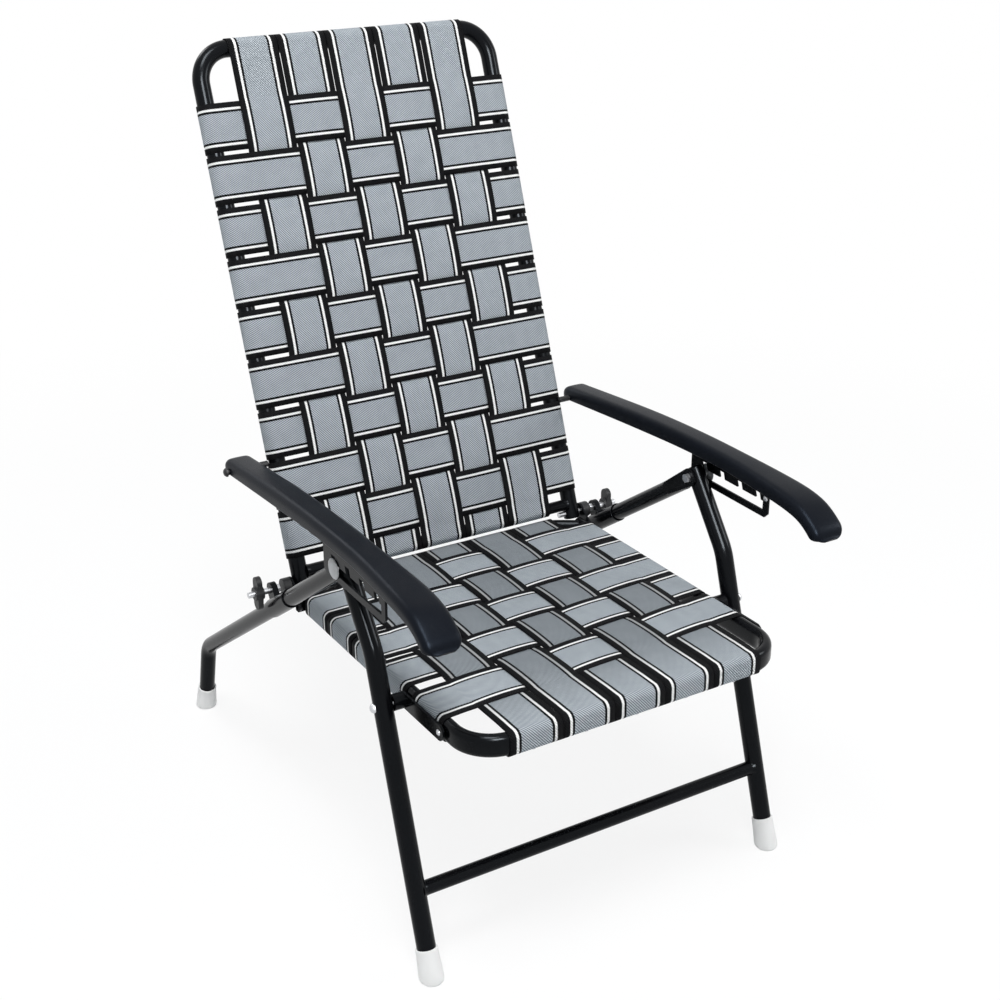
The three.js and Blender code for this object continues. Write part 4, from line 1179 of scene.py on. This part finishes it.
def weave(name, woven, widths, turns, parity, sag, rests, long_finish):
    """All straps of a panel. A long strap lies over a crossing where the sum of both counts has the
    panel's parity, and the cross strap lies over the others."""
    panel, longs, crosses, skews = woven
    ends, rails = turns
    made = []
    for i, x in enumerate(longs):
        overs = [(i + j) % 2 == parity for j in range(len(crosses))]
        line = strap_line(*ends, crosses + skews * x, overs)
        place = (x, 0.0, widths[0], panel, True)
        made.append(strap_piece(f"{name}_long_tape_{i + 1}", line, *place, sag, name, rests[0], long_finish))
    for j, (y, skew) in enumerate(zip(crosses, skews)):
        overs = [(i + j) % 2 != parity for i in range(len(longs))]
        line = strap_line(*rails, longs, overs)
        place = (y, skew, float(widths[1][j]), panel, False)
        made.append(strap_piece(f"{name}_cross_tape_{j + 1}", line, *place, sag, name, rests[1], webbing))
    return made


back_widths = (BACK_LONG_W, np.full(len(BACK_CROSSES_MM), BACK_CROSS_W))
back_ends = (Turn(BACK_BAR_UP, BACK_BAR_FORWARD, BACK_BAR_R + FOLDED_END), Turn(BACK_TOP, 0, TUBE_R))
back_turns = (back_ends, (Turn(-BACK_X, 0, TUBE_R), Turn(BACK_X, 0, TUBE_R)))
back_rests = (["back_frame", "back_crossbar"], ["back_frame"])
back_sag = sagging(BACK_X, BACK_BAR_UP, BACK_TOP, BACK_SAG)
square = np.zeros(len(BACK_CROSSES_MM))
back_woven = (back, FROM_MIDDLE * BACK_LONG_PITCH, BACK_CROSSES_MM * MM, square)
back_straps = weave("back", back_woven, back_widths, back_turns, 0, back_sag, back_rests, webbing)

seat_widths = (SEAT_LONG_W, SEAT_CROSS_W + SEAT_WIDER)
seat_front_turn = Turn(SEAT_FRONT, 0, RAIL_W / 2, RAIL_STRAIGHT)
seat_ends = (seat_front_turn, Turn(SEAT_REAR_BAR, REAR_BAR_UP, REAR_BAR_R + FOLDED_END))
seat_rails = tuple(Turn(way * RAIL_X, 0, RAIL_W / 2, RAIL_STRAIGHT) for side_name, way in SIDES)
seat_turns = (seat_ends, seat_rails)
seat_rests = (["seat_frame", "seat_rear_bar"], ["seat_frame"])
seat_sag = sagging(RAIL_X, SEAT_FRONT, SEAT_REAR_BAR, SEAT_SAG)
seat_woven = (seat, FROM_MIDDLE * SEAT_LONG_PITCH, SEAT_CROSSES_MM * MM, SEAT_SKEWS)
# The long straps of the seat get the tape with painted shade towards the back.
seat_straps = weave("seat", seat_woven, seat_widths, seat_turns, 1, seat_sag, seat_rests, webbing_painted_shade)
print("straps", len(back_straps), len(seat_straps))

# %% [markdown]
# ## Rivets
# The ends of the tape are folded under the tubes and riveted there. The rivets are small, and there
# are two for each strap, so one dome is worked out once and placed everywhere by its own axes. One
# more holds each notched rack to its armrest, on the rack's front post.

# %% Rivets
RIVET_TURN = np.radians(-95)
RIVET_SINK = 0.5 * MM
ALMOST_TOP = 0.96 * np.pi / 2
RACK_INNER_X = 262 * MM
RACK_RIVET_AT = (-264.4 * MM, 471 * MM)
RACK_RIVET_R, RACK_RIVET_H = 4 * MM, 2 * MM


def rivet_heads(places, normals, radius=4.2 * MM, height=1.8 * MM):
    """Domes on a surface: ring k has radius * cos(a) and stands height * sin(a) above the place."""
    a = np.linspace(0, ALMOST_TOP, 5)[:, None, None]
    flat = round_section(1.0, 14)
    bodies = []
    for place, normal in zip(places, normals):
        side = np.cross(normal, ACROSS + 0.01)
        side /= np.linalg.norm(side)
        ring = flat[:, :1] * side + flat[:, 1:] * np.cross(normal, side)
        rings = place + radius * np.cos(a) * ring + height * np.sin(a) * normal
        sunk = place - RIVET_SINK * normal + radius * ring
        bodies.append(loft(np.concatenate([sunk[None], rings])))
    return together(*bodies)


def strap_ends(woven, turns):
    """Places and outward directions of the rivets: on each strap, at RIVET_TURN round each tube."""
    panel, longs, crosses, skews = woven
    places, normals = [], []
    rows = ((True, longs, 0 * longs, turns[0]), (False, crosses, skews, turns[1]))
    for lengthwise, spots, leans, pair in rows:
        for middle, lean in zip(spots, leans):
            for turn, way in zip(pair, (-1, 1)):
                spot = middle + lean * turn.along
                out = np.array([way * np.cos(RIVET_TURN), np.sin(RIVET_TURN)])
                rim = np.array([turn.along, turn.depth - turn.straight]) + out * (turn.radius + RIVET_SINK)
                local = (spot, rim[0], rim[1]) if lengthwise else (rim[0], spot, rim[1])
                normal = (0, out[0], out[1]) if lengthwise else (out[0], 0, out[1])
                places.append(panel.world(local))
                normals.append(panel.world(normal) - panel.origin)
    return np.array(places), np.array(normals)


for name, woven, turns in (("back", back_woven, back_turns), ("seat", seat_woven, seat_turns)):
    places, normals = strap_ends(woven, turns)
    make_piece(f"{name}_strap_rivets", rivet_heads(places, normals), zinc, name, sharp=60.0)
    print(name, "rivets", len(places))
for side_name, way in SIDES:
    head_at = np.array([[way * RACK_INNER_X, *RACK_RIVET_AT]])
    rack_rivet = rivet_heads(head_at, np.array([[-way, 0.0, 0.0]]), RACK_RIVET_R, RACK_RIVET_H)
    make_piece(f"rack_rivet_{side_name}", rack_rivet, zinc, f"armrest_{side_name}", sharp=60.0)
